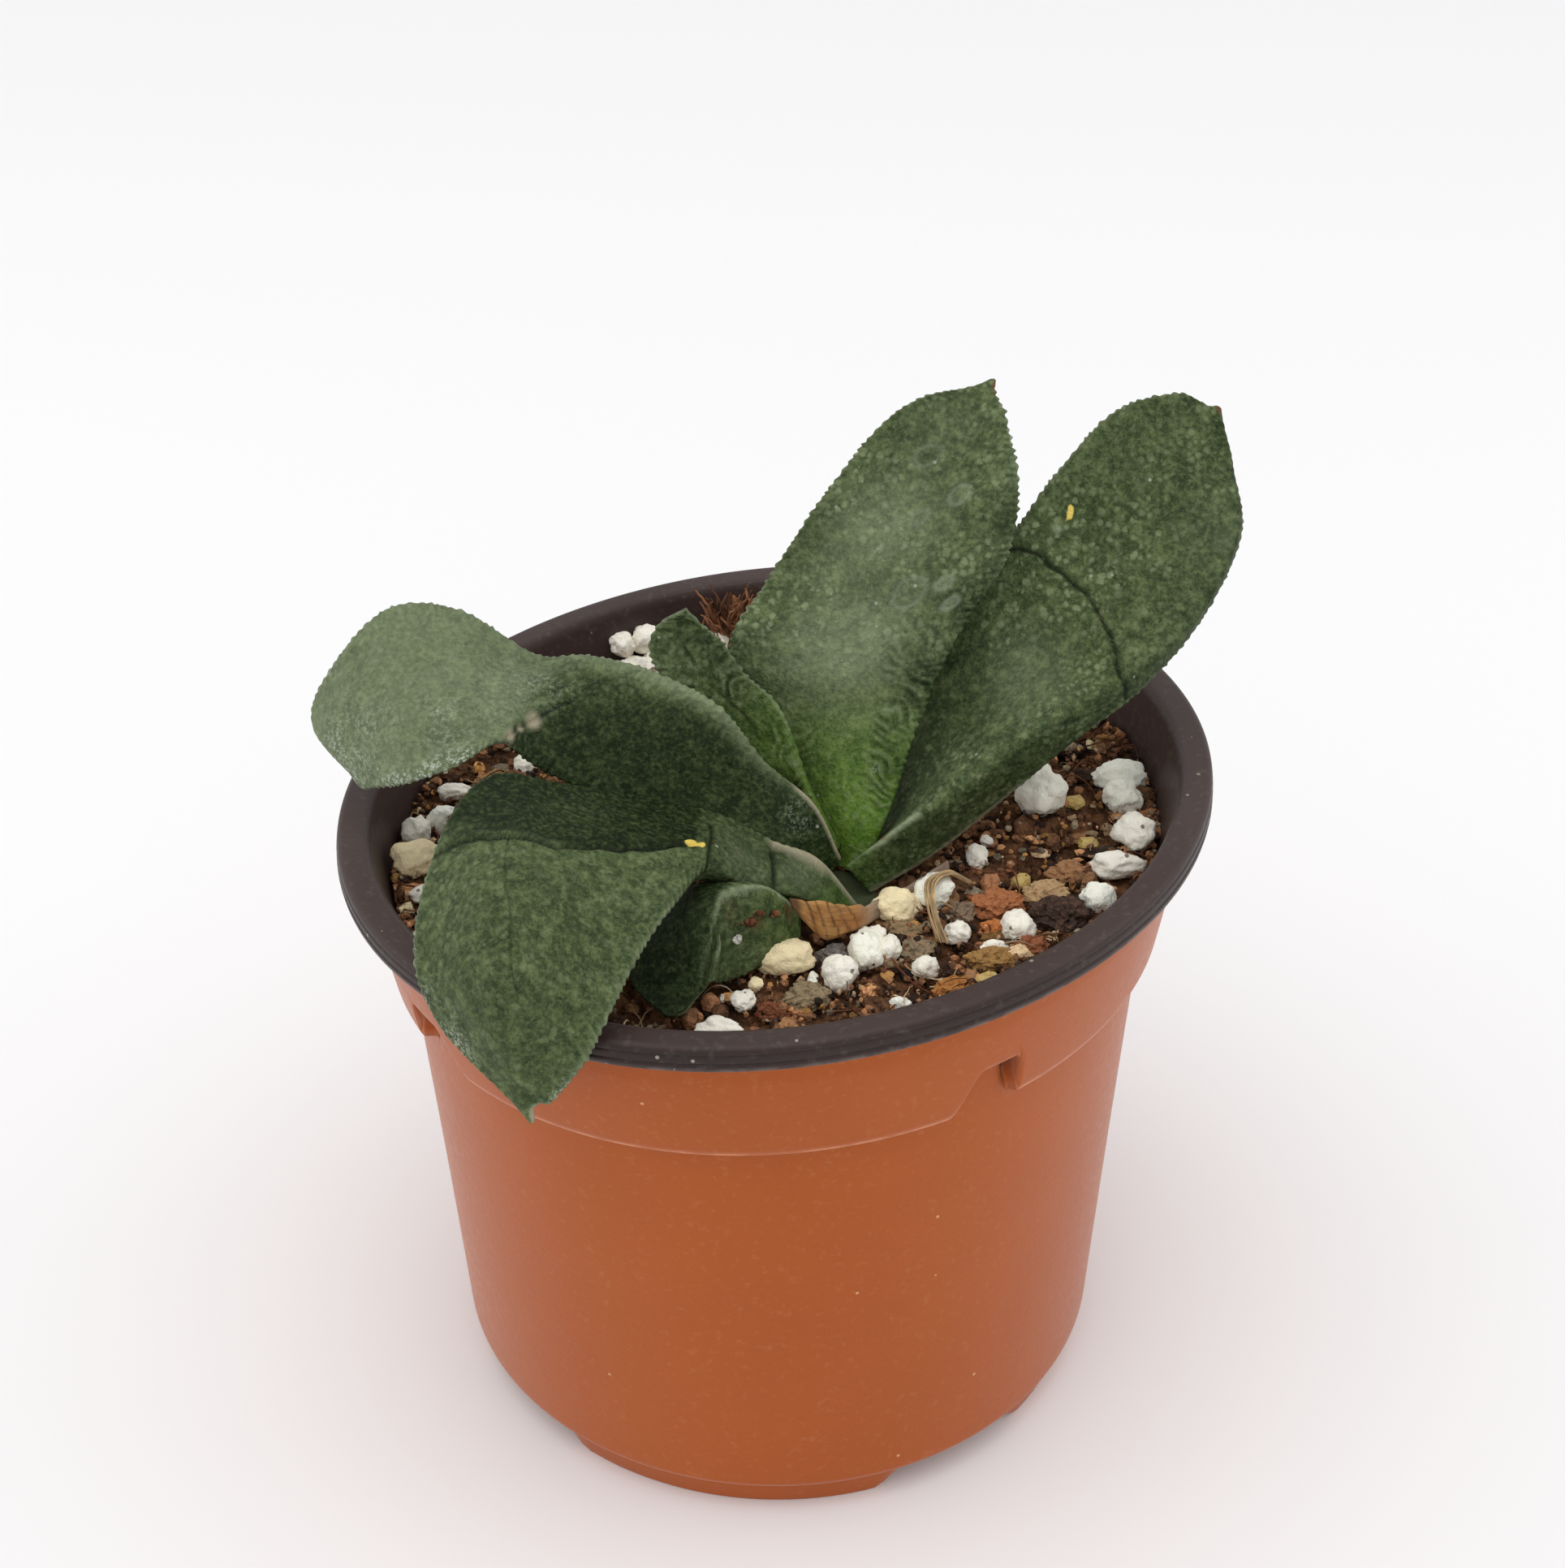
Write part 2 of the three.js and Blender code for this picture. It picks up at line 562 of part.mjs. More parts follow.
// ---------------------------------------------------------------- assembly

const MATERIALS = {
  pot: { color: '#a6572d', roughness: 0.5 },
  soil: { color: '#4a2e1e', roughness: 0.95 },
  stem_with_roots: { color: '#b9a37c', roughness: 0.8 },
  dry_sheath: { color: '#8f6b43', roughness: 0.75 },
  leaf: { color: '#3a5a36', roughness: 0.45 },
};

const group = new THREE.Group();

function addPiece(name, geometry) {
  const look = MATERIALS[name] ?? MATERIALS.leaf;
  const material = new THREE.MeshStandardMaterial({ ...look, metalness: 0 });
  const mesh = new THREE.Mesh(geometry, material);
  mesh.name = name;
  group.add(mesh);
}

// The outer leaves clasp the inner ones, so each leaf gives way to those made before it.
const stem = stemSolid(0);
const stemSpace = stemSolid(STEM_GAP);
const leafSpaces = [];
for (const [name, spec] of Object.entries(LEAVES)) {
  let solid = solidOf(bladeGeometry(spec, LEAF_ROWS, LEAF_COLUMNS, TOOTH_HEIGHT));
  solid = solid.subtract(stemSpace);
  for (const space of leafSpaces) {
    solid = solid.subtract(space);
  }
  leafSpaces.push(solidOf(bladeGeometry(spec, LEAF_ROWS, LEAF_COLUMNS, TOOTH_HEIGHT, CUT_CLEARANCE)));
  addPiece(name, largestBody(meshOf(solid)));
}

let sheath = solidOf(bladeGeometry(SHEATH, SHEATH_ROWS, SHEATH_COLUMNS, 0)).subtract(stemSpace);
let soil = soilSolid().subtract(stemSpace);
for (const space of leafSpaces) {
  sheath = sheath.subtract(space);
  soil = soil.subtract(space);
}
soil = soil.subtract(solidOf(bladeGeometry(SHEATH, SHEATH_ROWS, SHEATH_COLUMNS, 0, CUT_CLEARANCE)));

addPiece('dry_sheath', largestBody(meshOf(sheath)));
addPiece('stem_with_roots', meshOf(stem));
addPiece('soil', largestBody(meshOf(soil)));
addPiece('pot', potGeometry());

// Everything above is placed from the axis of the pot. The origin goes under the centre of the outline.
const centre = new THREE.Box3().setFromObject(group).getCenter(new THREE.Vector3());
group.position.set(-centre.x, -centre.y, 0);

export default group;
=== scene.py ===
"""Potted gasteria: leaves, dry sheath, soil with perlite, and a two-tone nursery pot."""

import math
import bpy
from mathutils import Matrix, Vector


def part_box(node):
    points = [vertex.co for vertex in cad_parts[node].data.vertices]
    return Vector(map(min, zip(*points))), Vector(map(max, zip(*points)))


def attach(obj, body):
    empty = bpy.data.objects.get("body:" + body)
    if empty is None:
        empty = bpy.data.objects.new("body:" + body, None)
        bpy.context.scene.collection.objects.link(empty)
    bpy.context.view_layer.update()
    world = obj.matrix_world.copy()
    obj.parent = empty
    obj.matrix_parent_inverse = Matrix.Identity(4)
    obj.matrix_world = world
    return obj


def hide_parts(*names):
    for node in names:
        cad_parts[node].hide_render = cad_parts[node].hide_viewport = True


bl_info = {
    "name": "Potted Gasteria",
    "version": (1, 0, 0),
    "blender": (4, 5, 0),
    "location": "View3D > Sidebar > Gasteria",
    "description": "Builds the detailed plant, soil and pot over the solid parts of a potted gasteria",
    "category": "Add Mesh",
}

import bmesh
import bpy
import numpy as np
from bpy.props import FloatProperty, FloatVectorProperty, IntProperty, PointerProperty
from mathutils import Euler, Vector, noise

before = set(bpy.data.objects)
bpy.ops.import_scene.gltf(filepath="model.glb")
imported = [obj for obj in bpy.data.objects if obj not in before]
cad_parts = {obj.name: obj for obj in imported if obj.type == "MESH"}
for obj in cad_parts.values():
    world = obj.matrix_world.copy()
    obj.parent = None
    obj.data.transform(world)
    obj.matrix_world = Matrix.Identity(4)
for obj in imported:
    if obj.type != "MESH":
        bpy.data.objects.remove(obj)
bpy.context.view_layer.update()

# Sizes below are in millimetres on the pot's axis, and angles in radians, where nothing else is said.
MM = 0.001
POT_LOW, POT_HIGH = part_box("pot")
AXIS = np.array([(POT_LOW[0] + POT_HIGH[0]) / 2, (POT_LOW[1] + POT_HIGH[1]) / 2, 0.0])
BODY = "root"

# The pot's wall and rim. The rim is pressed oval, and its plane slopes by the two tilts.
RIM_HEIGHT = 85.5
RIM_TILT_X = 0.033
RIM_TILT_Y = 0.02
OVAL = 0.054
OVAL_DIRECTION = 0.485
BODY_FOOT_RADIUS = 42.6
BODY_TOP_RADIUS = 45.6
BODY_FOOT_HEIGHT = 5.2
BAND_FOOT_HEIGHT = 65
BAND_STEP = (64.3, 65.9)
RIM_INNER_RADIUS = 48.3
RIM_SIDE = (51.8, 52.15)
RIM_TOP_ROUND = (84.9, 85.3)
WALL = 1.2
BODY_DRAFT = 0.051
BAND_DRAFT = 0.15
COLOUR_SPLIT = 81.95
# Profile corners that carry a pale line: part wear, part painted highlight along the edge.
WORN_AND_LIT_CORNERS = ((47.4, 65.3), (51.35, 81.5), (52.5, 82.2))
WORN_AND_LIT_WIDTH = 0.32
POT_SIDES = 200
LONGEST_STEP = 1.6
SMALL_FILLET = 0.2

# The lugs: each one's angle, and 1 or -1 for the way it faces. Its ramp, cut, mesh and slot are angles from
# there. LIFTED_BELOW and LIFTED_ABOVE are the heights over which the wall rises with the band's foot.
LUGS = ((-0.985, 1), (-2.55, -1), (0.59, -1), (2.16, 1))
LUG_RAMP = (-0.133, -0.035)
LUG_CUT = (0.062, 0.082)
LUG_STEP = 6
LUG_SIDES = (-0.14, 0.1, 30)
LIFTED_BELOW = (35, 64.2)
LIFTED_ABOVE = (65.8, 77.0)
LUG_SLOT = 0.066
SLOT_HALF_WIDTH = 0.009
SLOT_DEPTH = 1.1
SLOT_FOOT = (66.4, 67.4)
SLOT_HEAD = (70.4, 71.2)

# The pot's floor and feet.
FLOOR_UNDERSIDE = 3.6
FLOOR_SEAM = 30
FOOT_COUNT = 4
FOOT_CENTRE = -1.75
FOOT_GAP_ANGLE = 0.6
FOOT_RAMP_ANGLE = 0.12
FOOT_GAP_HEIGHT = 3.2
DRAIN_RADIUS = 3.5
DRAIN_RING_RADIUS = 24
DRAIN_COUNT = 6
DRAIN_SIDES = 32

# The soil. Each layer of lumps has its fineness in 1/mm, a number for its noise, and its height.
SOIL_HEIGHT = 77.2
SOIL_ROUGHNESS = 0.7
SOIL_TILT = 0.8
SOIL_FLOOR = 5.1
SOIL_GAP = 0.3
SOIL_REACH = 50
SOIL_SIDES = 420
SOIL_RINGS = 108
SOIL_LUMPS = ((0.28, 0, 1.3), (0.8, 7, 0.9), (1.9, 13, 0.5))
SOIL_SINK = 0.6
STEM_PLACE = (9.5, -13.5)
STEM_CLEARANCE = 6.0

# The leaves' faces and margins. The lips of a crease have a place, a half width and a share of its depth.
LEAF_EDGE = 0.9
LEAF_FULLNESS = 2.4
LEAF_COLUMNS = 97
BACK_COLUMNS = slice(-4, 0, -3)
MARGIN_CROWDING = 0.35
MARGIN_RADIUS = 0.9
TIP_SPAN = (0.9, 0.985)
TOOTH_PEAK = 0.6
TOOTH_SIZES = (0.35, 1.0)
TOOTH_SINK = 0.3
TOOTH_DEPTH = 0.6
RIB_DEPTH = 0.07
CREASE_HALF_WIDTH = 0.27
RING_HALF_WIDTH = 0.3
CREASE_LIPS = (0.9, 0.5, 0.35)
FACE_INSIDE = (0.3, 4)
WRINKLE_FADE = (0.07, 0.15)
FULL_WRINKLE = 0.24
FIRST_LEAF_SEED = 3
LEAF_SEED_STEP = 11
SHEATH_SEED = 4

# What each leaf holds. A place on its visible face is (along, across), each from 0 to 1.
#   back: the side its thickness grows to. rows: rings of points along it. point: how far its tip narrows.
#   core: thickness of its middle from base to point.
#   stations: points across its visible face from margin to margin, row by row from base to point.
#   creases: depth, and the places it runs through.
#   wrinkles: start, end, low side, high side, pitch, slant, depth.
#   marks: along, across, radius, strength. lines: half width, strength, and places. Both go by kind.
#   edges: margin, start, end, reach, strength, by kind. Shade marks are painted shade; pale marks, lines and
#       edges
#   are part pale bloom and part painted highlight.
#   shade: strength of the painted shade, direction, softness at each margin, and where it ends as (across,
#       along).
#   wall: low side, high side, strength of painted shade on the leaf's lower wall. light: start, end, share of
#       the
#   painted shade taken away.
#   pale, tooth, dots: amounts. pale_from and green: start, end, amount.
LEAVES = {
    "leaf_front_drooping": {
        "back": -1,
        "rows": 300,
        "point": 0.55,
        "core": (3.5, 5, 4.5, 3.2, 2.6, 1.2),
        "stations": (
            ((10, -17, 78.6), (9.5, -19, 78.6), (9, -21, 78.6)),
            ((5, -16, 85), (4, -19, 84.5), (3, -22, 83.5)),
            ((-0.5, -15, 87), (-1.5, -20, 87.5), (-3, -24.5, 87)),
            ((-6.5, -14, 90), (-7.5, -22, 91.5), (-8, -27, 91.5)),
            ((-15, -14, 92.5), (-14.5, -26, 94), (-11.5, -34, 92)),
            ((-25, -16, 96), (-22, -32, 96.5), (-15, -41, 90.5)),
            ((-33.5, -18, 98.5), (-27.5, -38, 98), (-18, -48, 88)),
            ((-38.5, -28, 97), (-30, -47, 96), (-20.5, -51.5, 84.5)),
            ((-41, -39.5, 90), (-31.5, -50.5, 89.5), (-23, -52, 80.5)),
            ((-38, -45, 82.5), (-30.5, -51.5, 81.5), (-25, -52.5, 78)),
            ((-28, -52.3, 74.8), (-27.5, -52.5, 74.5), (-27, -52.5, 74.8)),
        ),
        "creases": (
            (0.42, (
                (0.72, 0.01), (0.64, 0.23), (0.57, 0.35), (0.53, 0.41), (0.45, 0.49), (0.38, 0.54),
                (0.33, 0.52),
            )),
            (0.2, ((0.7, 0.05), (0.6, 0.25), (0.55, 0.34), (0.5, 0.38), (0.44, 0.42))),
            (0.5, ((0.31, 0.2), (0.3, 0.61), (0.305, 0.99))),
            (0.4, ((0.2, 0.09), (0.18, 0.53), (0.155, 0.99))),
            (0.15, ((0.6, 0.3), (0.66, 0.5), (0.74, 0.62))),
        ),
        "wrinkles": ((0.4, 0.75, 0.5, 0.95, 2.4, 0.3, 0.07), (0.45, 0.7, 0.0, 0.4, 2.0, -0.3, 0.06)),
        "marks": {
            "beige": ((0.25, 0.6, 1.5, 0.22), (0.253, 0.5, 1.3, 0.2)),
            "pale": ((0.12, 0.5, 3.5, 0.4), (0.24, 0.6, 4.5, 0.3), (0.5, 0.2, 6.0, 0.25)),
            "shade": ((0.74, 0.5, 9.0, 0.22),),
            "white": ((0.9, 0.12, 3.0, 0.6), (0.86, 0.06, 2.0, 0.5)),
        },
        "lines": {"cream": ((0.42, 1.0, ((0.345, 0.48), (0.333, 0.52), (0.318, 0.56))),)},
        "edges": {
            "beige": (
                ("far", 0.0, 0.1, 1.1, 0.9), ("far", 0.08, 0.2, 1.9, 0.9), ("near", 0.95, 1.0, 0.3, 0.8),
                ("far", 0.97, 1.0, 0.25, 0.6),
            ),
            "white": (("near", 0.78, 0.93, 0.6, 0.8), ("far", 0.78, 0.98, 0.7, 0.8)),
            "pale": (("far", 0.3, 0.95, 0.5, 0.4), ("near", 0.4, 0.95, 0.5, 0.4)),
        },
        "shade": (0.97, 1, (0.03, 0.014), (
            (0, 0.7), (0.23, 0.63), (0.35, 0.56), (0.41, 0.52), (0.49, 0.45), (0.54, 0.37), (0.62, 0.31),
            (1, 0.31),
        )),
        "light": (0.32, 0.34, 0.55),
        "pale": 0.03,
        "green": (0.0, 0.16, 0.4),
        "tooth": 1.0,
        "dots": 0.42,
    },
    "leaf_right": {
        "back": 1,
        "rows": 300,
        "point": 0.4,
        "core": (3, 4.5, 5, 4.6, 4.2, 3.8, 3.2, 1.2),
        "stations": (
            ((6.5, -6, 79.5), (9, -10, 79.2), (8, -14.6, 82.5), (10.8, -15, 79)),
            ((12.5, -3, 84.5), (14, -8, 84.5), (15, -13.5, 88), (18.5, -11, 81.5)),
            ((15.8, 3.6, 92.8), (19.5, -2.8, 91.7), (23, -10.5, 93), (26, -8, 86.5)),
            ((19.8, 8.4, 103.2), (27, 2.2, 98.8), (32, -6.5, 98.5), (35.5, -5, 94)),
            ((28, 12, 112.5), (35.5, 6.5, 106.5), (41.5, -2, 102.5), (44, -1.5, 99.5)),
            ((34, 15.5, 120), (42, 10.5, 113.5), (49.5, 3.5, 107.5), (51.5, 4, 106)),
            ((41, 19, 126.5), (48.5, 15.5, 121), (55, 10, 115.5), (56.5, 10.5, 114)),
            ((48.5, 21, 128), (52, 19.5, 124.5), (55, 17, 121), (56, 17, 119.5)),
            ((53.5, 21, 126.5), (54, 21, 126.2), (54.3, 20.8, 126), (54.5, 20.6, 125.6)),
        ),
        "creases": (
            (0.42, (
                (0.49, 0.01), (0.517, 0.12), (0.523, 0.24), (0.53, 0.36), (0.517, 0.53), (0.49, 0.71),
                (0.477, 0.97),
            )),
            (0.15, ((0.45, 0.9), (0.4, 0.8), (0.36, 0.72))),
            (0.12, ((0.5, 0.05), (0.52, 0.2), (0.54, 0.3))),
        ),
        "wrinkles": (
            (0.08, 0.46, 0.42, 0.72, 1.5, 0.55, 0.09),
            (0.3, 0.56, 0.7, 1.0, 1.9, 0.4, 0.06),
            (0.5, 0.9, 0.0, 0.9, 2.8, 0.7, 0.05),
        ),
        "marks": {
            "pale": ((0.565, 0.12, 0.7, 0.7), (0.4, 0.42, 6.0, 0.32), (0.72, 0.6, 6.0, 0.15)),
            "shade": (
                (0.93, 0.6, 3.2, 0.5), (0.62, 0.95, 3.5, 0.4), (0.62, 0.25, 4.0, 0.35),
                (0.75, 0.45, 9.0, 0.24), (0.36, 0.02, 4.0, 0.5), (0.2, 0.04, 3.0, 0.45),
            ),
            "brown": ((0.995, 0.5, 0.7, 0.9), (0.083, 0.6, 0.5, 0.7)),
        },
        "lines": {
            "cream": (
                (0.4, 1.0, ((0.602, 0.115), (0.592, 0.125))), (0.16, 0.9, ((0.592, 0.125), (0.578, 0.13))),
            ),
            "pale": (
                (0.45, 1.0, ((0.0, 0.6), (0.04, 0.64), (0.09, 0.66), (0.15, 0.665))),
                (0.6, 0.7, ((0.0, 0.58), (0.05, 0.63))),
            ),
        },
        "edges": {
            "beige": (("near", 0.0, 0.3, 0.5, 0.45),),
            "pale": (("near", 0.45, 0.97, 0.3, 0.35), ("far", 0.55, 0.97, 0.3, 0.35)),
            "brown": (("both", 0.955, 1.0, 0.3, 0.6),),
        },
        "wall": (0.68, 0.78, 0.5),
        "pale": 0.03,
        "green": (0.0, 0.1, 0.3),
        "tooth": 0.8,
        "dots": 0.9,
    },
    "leaf_left_recurved": {
        "back": -1,
        "rows": 300,
        "core": (3, 4, 4.4, 4.4, 4, 3.6, 3.4, 3, 2.4, 1.2),
        "stations": (
            ((8, -12.5, 82), (6, -14, 80), (4.5, -16, 79.2)),
            ((4.5, -10.5, 89), (1.5, -12.5, 86.5), (-1, -15.5, 85)),
            ((-1.5, -8, 93.5), (-5.5, -10, 90.5), (-8.5, -13.5, 87)),
            ((-7, -5, 99.5), (-13, -8, 96), (-17, -12.5, 89.5)),
            ((-15.5, -1.5, 102.5), (-20.5, -5.5, 99), (-24.5, -11, 92)),
            ((-23, 2, 102.5), (-26.5, -4, 100.5), (-29.5, -11, 95.5)),
            ((-29.5, 4, 101.5), (-31.5, -4.5, 101.5), (-32.5, -13, 100)),
            ((-38.5, 6, 106.5), (-38.5, -5, 103), (-37.5, -16, 98.5)),
            ((-47, 5, 107.5), (-46, -6, 102.5), (-43.5, -16, 96)),
            ((-54, 3, 101), (-52.5, -6, 98), (-47.5, -12, 92.5)),
            ((-57, -1, 94.5), (-54.5, -6, 94), (-50, -9, 90)),
            ((-50.4, -7.8, 89.6), (-50, -8, 89.5), (-49.6, -8.3, 89.5)),
        ),
        "creases": (
            (0.3, ((0.53, 0.97), (0.487, 0.73), (0.43, 0.52))),
            (0.14, ((0.43, 0.52), (0.4, 0.29), (0.37, 0.05))),
            (0.12, ((0.5, 0.6), (0.46, 0.45), (0.44, 0.3))),
        ),
        "wrinkles": (
            (0.08, 0.42, 0.02, 0.3, 1.35, 0.2, 0.06),
            (0.34, 0.52, 0.1, 0.7, 1.5, -0.5, 0.05),
            (0.5, 0.95, 0.0, 1.0, 3.2, 0.4, 0.05),
        ),
        "marks": {
            "beige": (
                (0.525, 0.94, 1.0, 1.0), (0.503, 0.84, 0.6, 0.8), (0.485, 0.73, 1.1, 1.0),
                (0.99, 0.5, 1.0, 0.5),
            ),
            "white": (
                (0.093, 0.24, 0.9, 1.0), (0.093, 0.24, 1.8, 0.4), (0.62, 0.8, 6.0, 0.3),
                (0.8, 0.78, 6.0, 0.45), (0.9, 0.75, 4.5, 0.6), (0.5, 0.4, 4.0, 0.25),
            ),
            "pale": ((0.66, 0.9, 6.0, 0.25), (0.88, 0.5, 7.0, 0.3)),
        },
        "edges": {
            "beige": (("far", 0.0, 0.12, 0.6, 0.9),),
            "pale": (("far", 0.1, 0.5, 1.8, 0.5), ("near", 0.5, 0.97, 0.9, 0.5)),
            "white": (("near", 0.6, 0.97, 2.0, 0.95), ("far", 0.8, 0.97, 1.0, 0.6)),
        },
        "shade": (0.82, 1, (0.14, 0.015), (
            (0, 0.15), (0.29, 0.385), (0.52, 0.425), (0.73, 0.482), (0.94, 0.527), (1, 0.53),
        )),
        "pale": 0.0,
        "pale_from": (0.42, 0.58, 0.45),
        "green": (0.0, 0.08, 0.2),
        "tooth": 0.9,
        "dots": 0.35,
    },
    "leaf_upright": {
        "back": 1,
        "rows": 300,
        "point": 0.4,
        "core": (3.5, 4.5, 5, 4.5, 4, 3.4, 2.8, 1.2),
        "stations": (
            ((5.5, -7, 78.6), (8.5, -10.5, 78.8), (10.5, -11.5, 80)),
            ((1.5, -3, 84.5), (8, -8.5, 86.5), (13.5, -10, 88.5)),
            ((-3.5, 2, 93.5), (8, -2.5, 96), (17, -5, 97.5)),
            ((-6, 5, 102), (9.5, 3, 104), (21.5, 0, 106)),
            ((-1.5, 9, 108.5), (13.5, 9, 112), (27.5, 5, 114.5)),
            ((6.5, 13.5, 119.5), (18, 15, 119.5), (29, 10.5, 121)),
            ((15, 19, 127), (22, 19.5, 125.5), (28, 17, 125.5)),
            ((26, 22, 129.5), (26.5, 22, 129.4), (26.9, 22, 129.2)),
        ),
        "creases": (
            (0.16, ((0.3, 0.99), (0.325, 0.9), (0.335, 0.8))),
            (0.16, ((0.36, 0.99), (0.38, 0.91), (0.39, 0.85))),
            (0.14, ((0.41, 0.99), (0.43, 0.92), (0.44, 0.87))),
        ),
        "wrinkles": (
            (0.1, 0.46, 0.62, 1.0, 1.6, 0.75, 0.24),
            (0.42, 0.7, 0.8, 1.0, 1.6, 0.6, 0.12),
            (0.05, 0.36, 0.0, 0.4, 1.4, -0.6, 0.1),
            (0.3, 0.9, 0.1, 0.8, 3.4, 0.3, 0.05),
        ),
        "marks": {
            "ring": (
                (0.683, 0.71, 1.35, 0.9), (0.507, 0.66, 1.9, 0.8), (0.52, 0.79, 0.8, 1.0),
                (0.487, 0.87, 0.8, 1.0), (0.763, 0.45, 1.4, 0.6), (0.64, 0.56, 1.0, 0.6),
            ),
            "pale": (
                (0.683, 0.71, 1.5, 0.35), (0.507, 0.66, 2.2, 0.35), (0.52, 0.79, 0.8, 0.5),
                (0.487, 0.87, 0.8, 0.5), (0.62, 0.4, 9.0, 0.4), (0.42, 0.45, 9.0, 0.48),
                (0.82, 0.4, 6.0, 0.2),
            ),
            "white": ((0.59, 0.29, 0.5, 1.0), (0.585, 0.42, 0.5, 0.9), (0.21, 0.76, 0.45, 0.9)),
            "shade": (
                (0.5, 1.0, 5.0, 0.78), (0.36, 1.0, 4.5, 0.65), (0.2, 1.0, 3.5, 0.55),
                (0.64, 1.0, 4.0, 0.65),
            ),
        },
        "edges": {
            "pale": (("both", 0.5, 0.97, 0.3, 0.4),),
            "white": (("near", 0.72, 0.86, 0.3, 0.8),),
            "brown": (("near", 0.95, 1.0, 0.4, 1.0),),
        },
        "pale": 0.08,
        "green": (0.04, 0.4, 1.0),
        "tooth": 1.2,
        "dots": 1.0,
    },
    "leaf_young": {
        "back": 1,
        "rows": 150,
        "point": 0.55,
        "core": (2, 2.4, 2.2, 2, 1.6, 1),
        "stations": (
            ((5, -10, 80), (6.5, -10, 81), (7.5, -11, 82)),
            ((-1, -6.5, 87), (1.5, -7, 88.5), (4, -9.5, 89)),
            ((-7, -3.5, 93), (-3, -3.5, 95), (0.5, -4.5, 98)),
            ((-13, -1.5, 99.5), (-8.5, -0.5, 100.5), (-4, -1, 101.5)),
            ((-15.5, 0.5, 103.5), (-11, 1.5, 104), (-6.5, 1, 104.5)),
            ((-14.5, 1.5, 106.3), (-11.5, 2, 106.6), (-9, 2, 106.3)),
            ((-11.5, 2, 108.3), (-11, 2, 108.5), (-10.5, 2, 108.3)),
        ),
        "creases": ((0.14, ((0.9, 0.5), (0.7, 0.42), (0.5, 0.45), (0.3, 0.5))),),
        "wrinkles": ((0.1, 0.95, 0.45, 1.0, 2.1, -0.7, 0.2), (0.15, 0.9, 0.0, 0.4, 2.0, 0.4, 0.13)),
        "marks": {"shade": ((0.6, 0.75, 4.5, 0.5), (0.8, 0.2, 3.5, 0.3), (0.5, 0.3, 8.0, 0.3))},
        "edges": {"pale": (("near", 0.3, 1.0, 0.3, 0.5), ("far", 0.4, 1.0, 0.3, 0.35))},
        "pale": 0.04,
        "green": (0.1, 0.6, 0.6),
        "tooth": 1.0,
        "dots": 0.7,
    },
    "leaf_low_small": {
        "back": -1,
        "rows": 150,
        "core": (2, 2.4, 2.6, 2.4, 2, 1),
        "stations": (
            ((4, -18, 80), (3.5, -20, 80.5), (2.5, -23, 81), (3, -24, 78.8)),
            ((-0.5, -18, 82), (-1, -22, 85), (-1, -26.5, 87.5), (-0.5, -28, 79)),
            ((-5, -19, 84), (-5.5, -24, 87.5), (-5.5, -29, 89), (-4, -31, 79)),
            ((-10.5, -21, 84.5), (-9.5, -27, 88.5), (-7.5, -32, 88), (-7, -33.5, 80)),
            ((-15, -24, 84.5), (-13, -30, 85.5), (-8.5, -34, 85.5), (-8, -35.5, 81.5)),
            ((-18, -28, 81), (-14.5, -33, 82), (-9.5, -35.5, 82), (-9, -36, 80.5)),
            ((-17, -33, 79), (-13.5, -35.5, 79.5), (-10.8, -37, 79.6), (-10.5, -37, 79.2)),
            ((-13, -38, 78.6), (-12.7, -38.1, 78.5), (-12.3, -38.1, 78.5), (-12, -38, 78.4)),
        ),
        "creases": (
            (0.15, ((0.1, 0.8), (0.3, 0.84), (0.5, 0.8))),
            (0.12, ((0.45, 0.3), (0.6, 0.55), (0.75, 0.6))),
        ),
        "wrinkles": ((0.1, 0.6, 0.1, 0.9, 2.2, 0.3, 0.07),),
        "marks": {
            "brown": (
                (0.2, 0.82, 1.8, 0.45), (0.05, 0.7, 1.6, 0.6), (0.12, 0.45, 1.2, 0.4),
                (0.3, 0.75, 3.0, 0.3),
            ),
        },
        "lines": {"pale": ((0.6, 0.7, ((0.05, 0.55), (0.2, 0.6), (0.33, 0.64), (0.5, 0.72), (0.7, 0.8))),)},
        "edges": {"pale": (("near", 0.5, 1.0, 0.35, 0.4),)},
        "shade": (0.78, -1, (0.04, 0.04), ((0, 0.2), (0.5, 0.3), (0.66, 0.4), (1, 0.55))),
        "pale": 0.03,
        "green": (0.0, 0.3, 0.15),
        "tooth": 0.6,
        "dots": 0.4,
    },
}
SHEATH = {
    "back": 1,
    "core": (0.9, 1, 1, 0.9),
    "stations": (
        ((1.5, -25.2, 84.4), (1, -24.6, 85.8)),
        ((3.2, -25.2, 82.2), (2.8, -24.4, 85.6)),
        ((5.4, -24.8, 79.6), (5, -24, 85)),
        ((7.9, -23.6, 79.6), (7.6, -22.8, 83.5)),
        ((10.2, -21.4, 79), (10, -20.8, 81.6)),
        ((12.5, -17.8, 78), (12.3, -17.2, 80.4)),
        ((15.1, -15.8, 78.4), (14.9, -15.3, 80.4)),
        ((18.4, -13.4, 79.2), (18.2, -13, 80.8)),
        ((20.7, -11.8, 80.2), (20.5, -11.4, 81.8)),
    ),
}

SHEATH_VEINS = ((0.17, 0.012), (0.235, 0.007), (0.3, 0.006), (0.355, 0.008), (0.41, 0.006))
SHEATH_SLANT = 0.06

